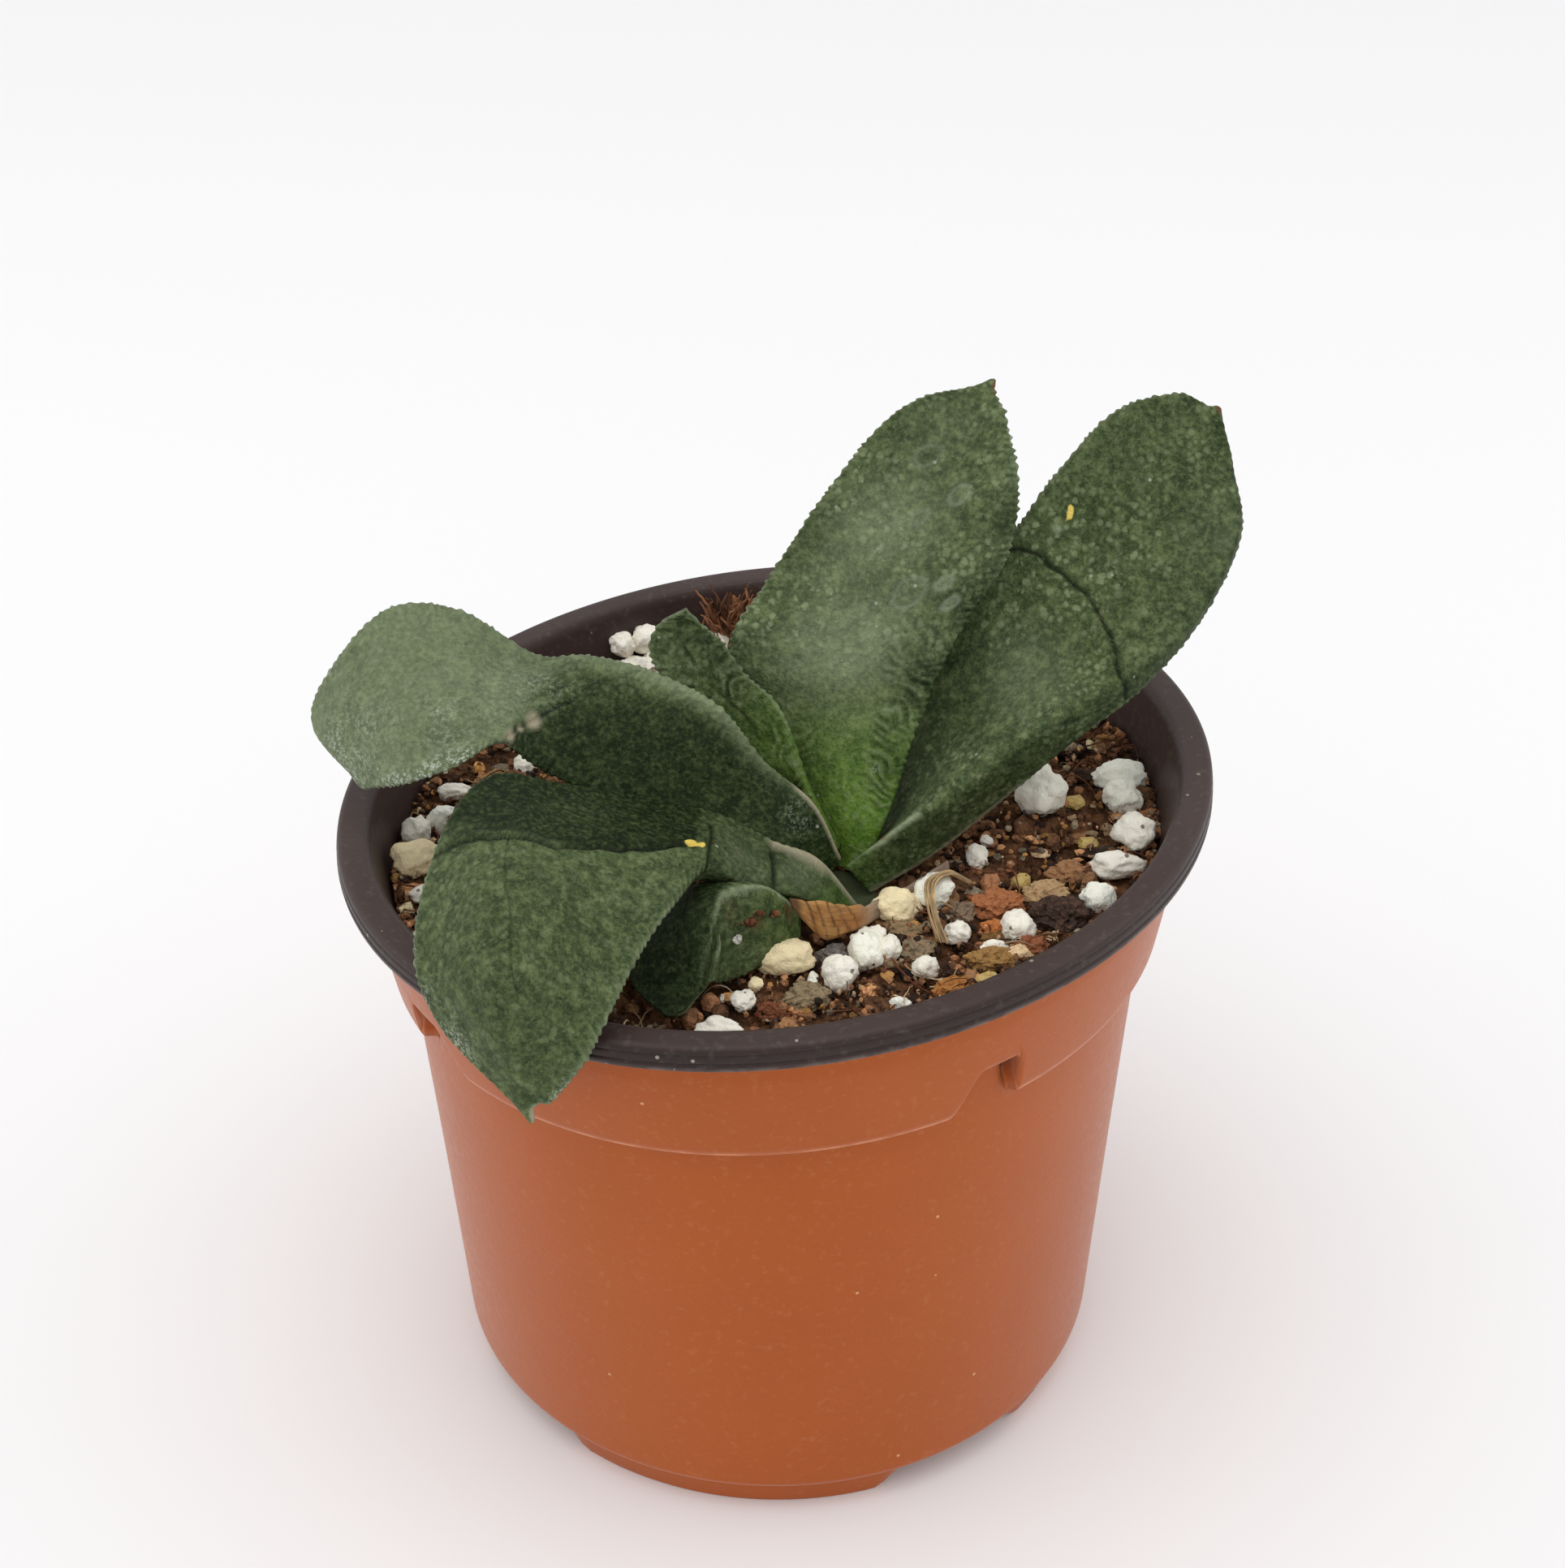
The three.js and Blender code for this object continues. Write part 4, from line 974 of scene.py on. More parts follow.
def lug_shape(points):
    """How far each point rises over a lug, and how deep the slot beside the lug is there, 0 to 1."""
    x, y, z = (points[..., k] for k in range(3))
    rise, slot = lug_rise(np.arctan2(y, x))
    outside = (np.hypot(x, y) > inner_radius(z) + WALL * 0.5) & (z > LIFTED_BELOW[0])
    lifted = LUG_STEP * rise * smooth_step(z, *LIFTED_BELOW) * (1 - smooth_step(z, *LIFTED_ABOVE))
    lift = np.where(outside, lifted, 0)
    height = z + lift
    depth = slot * smooth_step(height, *SLOT_FOOT) * (1 - smooth_step(height, *SLOT_HEAD))
    return lift, np.where(outside, depth, 0)


def shape_pot(points):
    """Raise the band's foot over the lugs and open the gaps between the feet."""
    x, y, z = (points[..., k].copy() for k in range(3))
    angle = np.arctan2(y, x)
    lift, slot = lug_shape(points)
    draft = BODY_DRAFT + (BAND_DRAFT - BODY_DRAFT) * smooth_step(z, *BAND_STEP)
    scale = 1 + (draft * lift - SLOT_DEPTH * slot) / np.hypot(x, y)
    z += lift
    gaps = [FOOT_CENTRE + (i + 0.5) * 2 * math.pi / FOOT_COUNT for i in range(FOOT_COUNT)]
    apart = np.min([np.abs(angle_between(angle, gap)) for gap in gaps], axis=0)
    edge = FOOT_GAP_ANGLE / 2
    open_foot = 1 - smooth_step(apart, edge - FOOT_RAMP_ANGLE, edge)
    raised = FOOT_GAP_HEIGHT * open_foot * np.clip(1 - z / FLOOR_UNDERSIDE, 0, 1)
    height = z + np.where(z < FLOOR_UNDERSIDE, raised, 0)
    return np.stack([x * scale, y * scale, height], axis=-1)


def floor_plate(height, turn):
    """Flat floor with its drain holes: its points, its triangles, and how many points each round edge has."""
    work = bmesh.new()
    hole = circle(DRAIN_RADIUS, np.linspace(0, 2 * math.pi, DRAIN_SIDES, endpoint=False), 0)[:, :2]
    rims = [circle(FLOOR_SEAM, turn, 0)[:, :2], hole]
    for i in range(DRAIN_COUNT):
        angle = i / DRAIN_COUNT * 2 * math.pi
        rims.append(hole + DRAIN_RING_RADIUS * np.array([math.cos(angle), math.sin(angle)]))
    edges = []
    for rim in rims:
        verts = [work.verts.new((x, y, height)) for x, y in rim]
        edges += [work.edges.new((a, b)) for a, b in zip(verts, verts[1:] + verts[:1])]
    bmesh.ops.triangle_fill(work, edges=edges, use_beauty=True)
    work.verts.index_update()
    points = np.array([v.co[:] for v in work.verts])
    faces = [tuple(v.index for v in f.verts) for f in work.faces]
    work.free()
    return points, faces, [len(rim) for rim in rims]


def pot_angles():
    """Angles of the pot's mesh, closer together at the lugs."""
    angles = list(np.linspace(-math.pi, math.pi, POT_SIDES, endpoint=False))
    for centre, direction in LUGS:
        angles += list(centre + direction * np.linspace(*LUG_SIDES))
    angles = np.unique(np.round(angle_between(np.array(angles), 0), 4))
    return angles[np.concatenate([[True], np.diff(angles) > 0.002])]


def build_pot(terracotta, dark):
    """The pot as one moulding: terracotta outside, brown-black rim and inside."""
    turn = pot_angles()
    sides = len(turn)
    profile = spread_profile(fillet(pot_profile()), LONGEST_STEP)
    points = circle(profile[:, 0, None], turn, profile[:, 1, None]).reshape(-1, 3)
    faces = ring_faces(len(profile), sides)
    # Pale lines at these corners, part wear and part painted highlight.
    worn_and_lit = np.min([np.linalg.norm(profile - corner, axis=1) for corner in WORN_AND_LIT_CORNERS], axis=0)
    wear = list(np.repeat(np.exp(-(worn_and_lit / WORN_AND_LIT_WIDTH) ** 2), sides))
    top = int(np.argmax(profile[:, 1]))
    middles = (profile[:-1, 1] + profile[1:, 1]) / 2
    ring_dark = (np.arange(len(profile) - 1) >= top) | (middles > COLOUR_SPLIT)
    picks = list(np.repeat(ring_dark.astype(int), sides))
    starts = []
    for level, pick in ((FLOOR_UNDERSIDE, 0), (FLOOR_UNDERSIDE + WALL, 1)):
        plate, triangles, counts = floor_plate(level, turn)
        start = len(points)
        starts.append(start)
        points = np.concatenate([points, plate])
        wear += [0.0] * len(plate)
        faces += [tuple(start + v for v in face) for face in triangles]
        picks += [pick] * len(triangles)
    place = counts[0]
    for count in counts[1:]:
        for k in range(count):
            a, b = place + k, place + (k + 1) % count
            faces.append((starts[0] + a, starts[0] + b, starts[1] + b, starts[1] + a))
            picks.append(0)
        place += count
    # The slot's depth also sets painted shade in the slot beside each lug.
    _, groove = lug_shape(points)
    # Painted shade on the outer side of the rim, below its rounded top.
    side = smooth_step(np.hypot(points[:, 0], points[:, 1]), *RIM_SIDE)
    side = side * (1 - smooth_step(points[:, 2], *RIM_TOP_ROUND))
    fields = {"pot_wear": np.stack([np.array(wear) * (1 - groove), groove, side], axis=-1)}
    points = on_axis(press_oval(shape_pot(points)))
    make_closed_piece("nursery_pot", points, faces, [terracotta, dark], ["pot"], fields, picks)


# ---------------------------------------------------------------------------------------- soil


def soil_height(x, y):
    """Height of the soil's broad swells, before its crumbs."""
    swell = np.sin(0.21 * x + 1.1) * np.cos(0.17 * y - 0.4) + 0.6 * np.sin(0.43 * x - 0.31 * y)
    return SOIL_HEIGHT + SOIL_ROUGHNESS * swell + RIM_TILT_X * SOIL_TILT * x + RIM_TILT_Y * SOIL_TILT * y


def soil_edge(angle, height):
    """Radius of the soil against the oval wall."""
    scale = 1 + OVAL * height / RIM_HEIGHT * np.cos(2 * (angle - OVAL_DIRECTION))
    return (inner_radius(np.asarray(height, float)) - SOIL_GAP) * scale


def build_soil(settings, material):
    """Crumbly top of the peat, and its plain sides and underside inside the pot."""
    turn = np.linspace(0, 2 * math.pi, SOIL_SIDES, endpoint=False)
    share = np.linspace(0.004, 1, SOIL_RINGS)[:, None]
    top = circle(share * soil_edge(turn, SOIL_HEIGHT), turn, 0)
    top[..., 2] = soil_height(top[..., 0], top[..., 1])
    lumps = sum(field(top, scale, settings.seed + shift) * height for scale, shift, height in SOIL_LUMPS)
    top[..., 2] += lumps - SOIL_SINK
    levels = (70.0, 55.0, 35.0, 15.0, SOIL_FLOOR + 1.5)
    wall = [circle(soil_edge(turn, height), turn, height) for height in levels]
    wall += [circle(radius, turn, SOIL_FLOOR) for radius in (36.0, 20.0, 0.5)]
    loop = np.concatenate([top, np.array(wall)])
    faces = ring_faces(len(loop), SOIL_SIDES)
    count = len(loop) * SOIL_SIDES
    points = np.concatenate([loop.reshape(-1, 3), [top[0].mean(axis=0)], [[0, 0, SOIL_FLOOR]]])
    for c in range(SOIL_SIDES):
        n = (c + 1) % SOIL_SIDES
        faces.append((n, c, count))
        faces.append((count - SOIL_SIDES + c, count - SOIL_SIDES + n, count + 1))
    make_closed_piece("potting_soil", on_axis(points), faces, [material], ["soil"])


def ground(x, y):
    """Height of the soil at one place."""
    return float(soil_height(x, y))


def unit_lumps(level, kinds, rough, fine, seed):
    """A few rough rounded lumps of about radius one, as points and shared triangles."""
    work = bmesh.new()
    bmesh.ops.create_icosphere(work, subdivisions=level, radius=1.0)
    work.verts.index_update()
    sphere = np.array([v.co[:] for v in work.verts])
    faces = np.array([[v.index for v in f.verts] for f in work.faces])
    work.free()
    shapes = []
    for kind in range(kinds):
        place = seed + kind * 17.3
        swell = 1 + rough * (0.9 * field(sphere, 0.9, place) + 0.7 * field(sphere, 1.8, place + 5))
        if fine > 0:
            swell += fine * (field(sphere, 3.6, place + 9) - 0.8 * np.abs(field(sphere, 5.5, place + 3)))
        shapes.append(sphere * swell[:, None])
    return shapes, faces


def join_bodies(name, bodies, material, smooth=True):
    """One piece of many small bodies, each with its points, its faces and a colour."""
    points, faces, colours = [], [], []
    start = 0
    for body, body_faces, colour in bodies:
        points.append(body)
        faces.append(np.asarray(body_faces) + start)
        colours.append(np.repeat([tone(*colour)[:3]], len(body), axis=0))
        start += len(body)
    points, faces = on_axis(np.concatenate(points)), np.concatenate(faces).tolist()
    fields = {"lump_colour": np.concatenate(colours)}
    make_piece(name, points, faces, [material], fields=fields, smooth=smooth)


def scatter(name, lumps, placed, material, smooth=False):
    """One piece of lumps turned at random. Each placed lump has a centre, three half sizes and a colour."""
    shapes, faces = lumps
    chooser = np.random.default_rng(len(placed))
    bodies = []
    for k, (centre, sizes, colour) in enumerate(placed):
        spin = np.array(Euler(chooser.uniform(0, 2 * math.pi, 3)).to_matrix())
        bodies.append(((shapes[k % len(shapes)] @ spin.T) * np.array(sizes) + centre, faces, colour))
    if bodies:
        join_bodies(name, bodies, material, smooth)


def inside_pot(x, y, margin):
    """The place moved inward until it is clear of the wall by the margin."""
    angle = math.atan2(y, x)
    limit = float(soil_edge(angle, SOIL_HEIGHT + 1)) - margin
    radius = math.hypot(x, y)
    if radius > limit:
        x, y = x * limit / radius, y * limit / radius
    return x, y


def random_place(chooser, margin):
    """Random place on the soil, evenly over its area and clear of the stem."""
    x, y = STEM_PLACE
    while math.hypot(x - STEM_PLACE[0], y - STEM_PLACE[1]) < STEM_CLEARANCE:
        angle = chooser.uniform(0, 2 * math.pi)
        radius = math.sqrt(chooser.uniform(0, 1)) * SOIL_REACH
        x, y = inside_pot(radius * math.cos(angle), radius * math.sin(angle), margin)
    return x, y


def varied(colour, chooser, amount):
    """The colour made a little lighter or darker at random."""
    factor = chooser.uniform(1 - amount, 1 + amount)
    return [min(255, c * factor) for c in colour]


def peat_colour(chooser):
    """Random tone of a bit of peat, bark or dry clay."""
    return varied(PEAT_TONES[chooser.choice(len(PEAT_TONES), p=PEAT_SHARES)], chooser, 0.3)


def build_crumbs(settings, material):
    """Loose crumbs of peat and bark over the soil and on the leaves."""
    chooser = np.random.default_rng(settings.seed + 1)
    placed = []
    for _ in range(settings.crumb_count):
        size = chooser.choice(CRUMB_SIZES, p=CRUMB_SHARES) * chooser.uniform(0.75, 1.2)
        x, y = random_place(chooser, size + 0.1)
        z = ground(x, y) + size * chooser.uniform(-0.1, 0.7) - 0.2
        sizes = size * chooser.uniform(0.5, 1.4, 3) * np.array([1.1, 1.0, 0.75])
        placed.append(([x, y, z], sizes, peat_colour(chooser)))
    for x, y, z, size, colour in CRUMBS_ON_LEAVES:
        placed.append(([x, y, z], [size * 0.6, size * 0.5, size * 0.5], colour))
    lumps = unit_lumps(level=2, kinds=16, rough=0.5, fine=0.18, seed=3.0)
    scatter("peat_crumbs", lumps, placed, material)


def build_fines(settings, material):
    """The finest crumbs, that lie on everything else in the soil."""
    chooser = np.random.default_rng(settings.seed + 6)
    placed = []
    for _ in range(settings.fine_count):
        size = chooser.uniform(*FINE_SIZES)
        x, y = random_place(chooser, size + 0.1)
        z = ground(x, y) + chooser.uniform(0.0, 0.9)
        placed.append(([x, y, z], size * chooser.uniform(0.5, 1.5, 3), peat_colour(chooser)))
    lumps = unit_lumps(level=1, kinds=12, rough=0.5, fine=0.2, seed=3.0)
    scatter("peat_fines", lumps, placed, material)


def build_clumps(settings, material):
    """The larger clumps of peat and bark: the listed ones, and a few more beyond them."""
    chooser = np.random.default_rng(settings.seed + 4)
    main_ones, others = [], []
    for x, y, width, depth, height, colour in CLUMPS:
        main_ones.append(([x, y, ground(x, y) + height * 0.3], [width, depth, height], colour))
    for _ in range(settings.clump_count):
        size = chooser.uniform(*CLUMP_SIZES)
        x, y = random_place(chooser, size + 1.2)
        sizes = size * chooser.uniform(0.7, 1.2, 3) * np.array([1, 1, 0.7])
        others.append(([x, y, ground(x, y) - size * 0.2], sizes, peat_colour(chooser)))
    clods = unit_lumps(level=4, kinds=12, rough=0.34, fine=0.3, seed=33.0)
    bits = unit_lumps(level=3, kinds=12, rough=0.4, fine=0.3, seed=51.0)
    scatter("peat_clumps", clods, main_ones, material)
    scatter("bark_bits", bits, others, material)


def build_perlite(settings, material):
    """Perlite grains on the soil, the listed ones and some small ones between them."""
    chooser = np.random.default_rng(settings.seed + 2)
    main_ones, others = [], []
    for k, (x, y, width, depth) in enumerate(PERLITE_ON_TOP):
        x, y = inside_pot(x, y, max(width, depth) / 2 + 0.2)
        z = ground(x, y) + min(width, depth) * 0.36
        sizes = np.array([width, depth, min(width, depth) * 0.95]) / 2 * 1.06
        colour = PERLITE_CREAM if k in YELLOWISH_GRAINS else varied(PERLITE_WHITE, chooser, 0.03)
        main_ones.append(([x, y, z], sizes, colour))
    for x, y, z, width, depth in PERLITE_PILED:
        main_ones.append(([x, y, z], np.array([width, depth, min(width, depth)]) / 2, PERLITE_WHITE))
    for _ in range(settings.perlite_count):
        size = chooser.uniform(*PERLITE_SIZES)
        x, y = random_place(chooser, size + 0.2)
        z = ground(x, y) + size * 0.3 + 0.3
        others.append(([x, y, z], size * chooser.uniform(0.75, 1.2, 3), varied(PERLITE_WHITE, chooser, 0.05)))
    grains = unit_lumps(level=4, kinds=18, rough=0.27, fine=0.12, seed=8.0)
    crumbs = unit_lumps(level=3, kinds=12, rough=0.3, fine=0.08, seed=14.0)
    scatter("perlite_grains", grains, main_ones, material, smooth=True)
    scatter("perlite_crumbs", crumbs, others, material, smooth=True)


def build_grit(material):
    """A few golden grains of grit."""
    placed = [([x, y, ground(x, y) + 0.5], GRIT_SIZE, GRIT_COLOUR) for x, y in GRIT_ON_TOP]
    lumps = unit_lumps(level=2, kinds=6, rough=0.4, fine=0.1, seed=21.0)
    scatter("golden_grit", lumps, placed, material)


def tube(path, radius, sides=5):
    """Tapered tube along a path, as rings."""
    path = np.asarray(path, float)
    tangent = unit(np.gradient(path, axis=0))
    side = unit(np.cross(tangent, [0.13, 0.21, 0.97]))
    other = np.cross(tangent, side)
    turn = np.linspace(0, 2 * math.pi, sides, endpoint=False)
    taper = radius * (1 - 0.6 * np.linspace(0, 1, len(path)) ** 2)[:, None, None]
    ring = side[:, None] * np.cos(turn)[None, :, None] + other[:, None] * np.sin(turn)[None, :, None]
    return path[:, None] + taper * ring


def loose_fibres(settings, chooser):
    """Paths, radii and colours of the fine fibres that lie over the soil."""
    for _ in range(settings.fibre_count):
        x, y = random_place(chooser, 4)
        heading = chooser.uniform(0, 2 * math.pi)
        bend = chooser.uniform(-0.3, 0.3)
        length = chooser.uniform(*FIBRE_LENGTHS)
        lift = chooser.uniform(0.1, 1.6)
        path = []
        for step in np.linspace(0, 1, FIBRE_STEPS):
            x += math.cos(heading) * length / FIBRE_STEPS
            y += math.sin(heading) * length / FIBRE_STEPS
            heading += bend + chooser.normal(0, 0.2)
            px, py = inside_pot(x, y, FIBRE_MARGIN)
            path.append([px, py, ground(px, py) + 0.7 + lift * math.sin(step * math.pi)])
        colour = FIBRE_TONES[chooser.choice(len(FIBRE_TONES), p=FIBRE_SHARES)]
        yield path, chooser.uniform(*FIBRE_RADII), varied(colour, chooser, 0.15)


def straw_strands(chooser):
    """Strands of the frayed bit of straw that arches over the soil."""
    line = np.array(PALE_STRAW)
    for strand in range(STRAW_STRANDS):
        offset = (strand / (STRAW_STRANDS - 1) - 0.5) * 1.5
        spread = np.outer(np.linspace(0.5, 1.2, len(line)) * offset, [0.75, -0.6, 0.25])
        stops = line + spread + chooser.normal(0, 0.1, line.shape)
        path = curve_through(stops, np.linspace(0, 1, STRAW_STEPS))
        yield path, chooser.uniform(*STRAW_RADII), varied(STRAW_COLOUR, chooser, 0.16)


def coir_tuft(chooser):
    """Reddish coir that stands up against the back wall."""
    for _ in range(COIR_STRANDS):
        x, y = chooser.normal(COIR_PLACE[0], 2.2), chooser.normal(COIR_PLACE[1], 1.0)
        heading = chooser.uniform(0.2, 2.9)
        z = COIR_FOOT
        path = []
        for _ in range(FIBRE_STEPS):
            px, py = inside_pot(x, y, FIBRE_MARGIN)
            path.append([px, py, z])
            x += math.cos(heading) * 0.5
            y += math.sin(heading) * 0.18
            z += chooser.uniform(0.0, 1.3)
            heading += chooser.normal(0, 0.6)
        yield path, chooser.uniform(*COIR_RADII), varied(COIR_COLOUR, chooser, 0.35)


def build_fibres(settings, material):
    """Fine root hairs, coir and a frayed bit of straw on the soil."""
    chooser = np.random.default_rng(settings.seed + 3)
    bodies = []
    for source in (loose_fibres(settings, chooser), straw_strands(chooser), coir_tuft(chooser)):
        for path, radius, colour in source:
            rings = tube(path, radius)
            bodies.append((rings.reshape(-1, 3), ring_faces(*rings.shape[:2]), colour))
    join_bodies("root_fibres", bodies, material)


# ---------------------------------------------------------------------------------------- finishes


def put(tree, socket, value):
    """Give an input its link or its value."""
    if isinstance(value, bpy.types.NodeSocket):
        tree.links.new(value, socket)
    else:
        socket.default_value = value


def add_node(tree, kind, inputs=None, **settings):
    """New node with its settings and the values or links of its inputs."""
    node = tree.nodes.new(kind)
    for key, value in settings.items():
        setattr(node, key, value)
    for key, value in (inputs or {}).items():
        put(tree, node.inputs[key], value)
    return node


def calculate(tree, operation, *values):
    """Result of a math node."""
    return add_node(tree, "ShaderNodeMath", dict(enumerate(values)), operation=operation).outputs[0]


def start_group(name, values, result):
    """Shared effect with a place, some values and one result: its tree, its inputs and its result."""
    group = bpy.data.node_groups.new(name, "ShaderNodeTree")
    group.interface.new_socket("Vector", in_out="INPUT", socket_type="NodeSocketVector")
    for label, default in values.items():
        socket = group.interface.new_socket(label, in_out="INPUT", socket_type="NodeSocketFloat")
        socket.default_value = default
    group.interface.new_socket(result, in_out="OUTPUT", socket_type="NodeSocketFloat")
    given = group.nodes.new("NodeGroupInput").outputs
    return group, given, group.nodes.new("NodeGroupOutput").inputs[result]


def mottle_group():
    """Uneven tone: broad clouds with finer ones on them, from 0 to 1."""
    group, given, result = start_group("Mottled tone", {"Scale": 100.0, "Contrast": 1.0}, "Tone")
    inputs = {"Vector": given["Vector"], "Scale": given["Scale"], "Detail": 5.0, "Roughness": 0.6}
    clouds = add_node(group, "ShaderNodeTexNoise", inputs)
    centred = calculate(group, "SUBTRACT", clouds.outputs["Fac"], 0.5)
    raised = add_node(group, "ShaderNodeMath", {0: centred, 1: given["Contrast"], 2: 0.5},
                      operation="MULTIPLY_ADD", use_clamp=True)
    put(group, result, raised.outputs[0])
    return group


def fleck_group():
    """Small scattered flecks: a mask of separate round spots, most of them left out."""
    values = {"Scale": 500.0, "Size": 0.2, "Share": 0.2}
    group, given, result = start_group("Scattered flecks", values, "Flecks")
    cells = add_node(group, "ShaderNodeTexVoronoi", {"Vector": given["Vector"], "Scale": given["Scale"]})
    inside = calculate(group, "LESS_THAN", cells.outputs["Distance"], given["Size"])
    pick = add_node(group, "ShaderNodeSeparateColor", {"Color": cells.outputs["Color"]})
    kept = calculate(group, "LESS_THAN", pick.outputs["Red"], given["Share"])
    put(group, result, calculate(group, "MULTIPLY", inside, kept))
    return group


def grain_group():
    """Fine surface relief from two sizes of noise, as a height."""
    group, given, result = start_group("Fine grain", {"Scale": 1500.0, "Coarse Part": 0.5}, "Height")
    inputs = {"Vector": given["Vector"], "Scale": given["Scale"], "Detail": 3.0, "Roughness": 0.6}
    fine = add_node(group, "ShaderNodeTexNoise", inputs)
    scale = calculate(group, "MULTIPLY", given["Scale"], 0.22)
    coarse = add_node(group, "ShaderNodeTexNoise", {"Vector": given["Vector"], "Scale": scale, "Detail": 2.0})
    mixed = calculate(group, "MULTIPLY", coarse.outputs["Fac"], given["Coarse Part"])
    put(group, result, calculate(group, "ADD", fine.outputs["Fac"], mixed))
    return group


SHARED_EFFECTS = {"Mottled tone": mottle_group, "Scattered flecks": fleck_group, "Fine grain": grain_group}


class Finish:
    """A material in the making: its nodes, its colour so far, and its place on the surface."""

    def __init__(self, name):
        self.material = bpy.data.materials.new(name)
        self.material.use_nodes = True
        self.tree = self.material.node_tree
        self.tree.nodes.clear()
        self.shader = self.tree.nodes.new("ShaderNodeBsdfPrincipled")
        add_node(self.tree, "ShaderNodeOutputMaterial", {"Surface": self.shader.outputs["BSDF"]})
        self.place = self.tree.nodes.new("ShaderNodeTexCoord").outputs["Object"]
        self.base = None

    def effect(self, name, inputs):
        """Outputs of a placed copy of a shared effect, which is made at its first use."""
        group = bpy.data.node_groups.get(name) or SHARED_EFFECTS[name]()
        inputs = {"Vector": self.place, **inputs}
        return add_node(self.tree, "ShaderNodeGroup", inputs, node_tree=group).outputs

    def mottle(self, scale, contrast, place=None):
        """Uneven tone, from 0 to 1."""
        inputs = {"Scale": scale, "Contrast": contrast, "Vector": place or self.place}
        return self.effect("Mottled tone", inputs)["Tone"]

    def flecks(self, scale, size, share):
        """Mask of small scattered flecks."""
        return self.effect("Scattered flecks", {"Scale": scale, "Size": size, "Share": share})["Flecks"]

    def stored(self, name):
        """Field stored on the mesh."""
        return add_node(self.tree, "ShaderNodeAttribute", attribute_name=name).outputs["Vector"]

    def parts(self, vector):
        """The three parts of a field or place."""
        return add_node(self.tree, "ShaderNodeSeparateXYZ", {"Vector": vector}).outputs

    def move(self, operation, place, by):
        """Place that is scaled or shifted."""
        return add_node(self.tree, "ShaderNodeVectorMath", {0: place, 1: by}, operation=operation).outputs[0]

    def times(self, a, b):
        """Product of two masks or shares."""
        return calculate(self.tree, "MULTIPLY", a, b)

    def fit(self, value, low, high, new_low=0.0, new_high=1.0):
        """Value mapped from one span to another, and held inside it."""
        inputs = {"Value": value, "From Min": low, "From Max": high, "To Min": new_low, "To Max": new_high}
        return add_node(self.tree, "ShaderNodeMapRange", inputs, clamp=True).outputs["Result"]

    def mix(self, mask, a, b, kind="MIX"):
        """Two colours mixed by a mask."""
        inputs = {0: mask, 6: a, 7: b}
        return add_node(self.tree, "ShaderNodeMix", inputs, data_type="RGBA", blend_type=kind).outputs[2]

    def cover(self, mask, colour, share=None):
        """Lay a colour over the base colour where a mask, or a share of it, shows it."""
        if share is not None:
            mask = self.times(mask, share)
        self.base = self.mix(mask, self.base, colour)

    def darken(self, mask, colour):
        """Multiply the base colour by another where a mask shows it."""
        self.base = self.mix(mask, self.base, colour, "MULTIPLY")

    def vary(self, mask, light, light_share, dark, dark_share, dark_end=0.5):
        """Make the base colour lighter where a tone is high and darker where it is low."""
        self.cover(self.fit(mask, 0.5, 1.0, 0.0, light_share), light)
        self.cover(self.fit(mask, 0.0, dark_end, dark_share, 0.0), dark)

    def relief(self, height, depth):
        """Surface relief: a height from 0 to 1, times a depth in metres."""
        inputs = {"Height": height, "Distance": depth, "Strength": 1.0}
        bump = add_node(self.tree, "ShaderNodeBump", inputs)
        put(self.tree, self.shader.inputs["Normal"], bump.outputs["Normal"])

    def grain(self, scale, coarse_part, depth):
        """Fine relief of the surface."""
        self.relief(self.effect("Fine grain", {"Scale": scale, "Coarse Part": coarse_part})["Height"], depth)

    def done(self, roughness, specular=0.5):
        """The material, with its colour, roughness and shine in place."""
        looks = {"Base Color": self.base, "Roughness": roughness, "Specular IOR Level": specular}
        for name, value in looks.items():
            put(self.tree, self.shader.inputs[name], value)
        return self.material


def raised_dots(skin, spacing, cloud, share):
    """Mask of the pale dots of the leaves, patchy and of many sizes."""
    wobble = add_node(skin.tree, "ShaderNodeTexNoise", {"Vector": skin.place, "Scale": 900.0, "Detail": 2.0})
    shift = skin.move("MULTIPLY", wobble.outputs["Color"], (0.0008, 0.0008, 0.0008))
    inputs = {"Vector": skin.move("ADD", skin.place, shift), "Scale": 1.0 / spacing, "Randomness": 0.95}
    cells = add_node(skin.tree, "ShaderNodeTexVoronoi", inputs)
    pick = add_node(skin.tree, "ShaderNodeSeparateColor", {"Color": cells.outputs["Color"]}).outputs["Red"]
    inside = calculate(skin.tree, "SUBTRACT", skin.fit(pick, 0.0, 1.0, 0.05, 0.57), cells.outputs["Distance"])
    patchy = skin.times(skin.fit(inside, -0.1, 0.22), skin.fit(cloud, 0.35, 0.65, 0.15, 1.0))
    return skin.times(patchy, share)


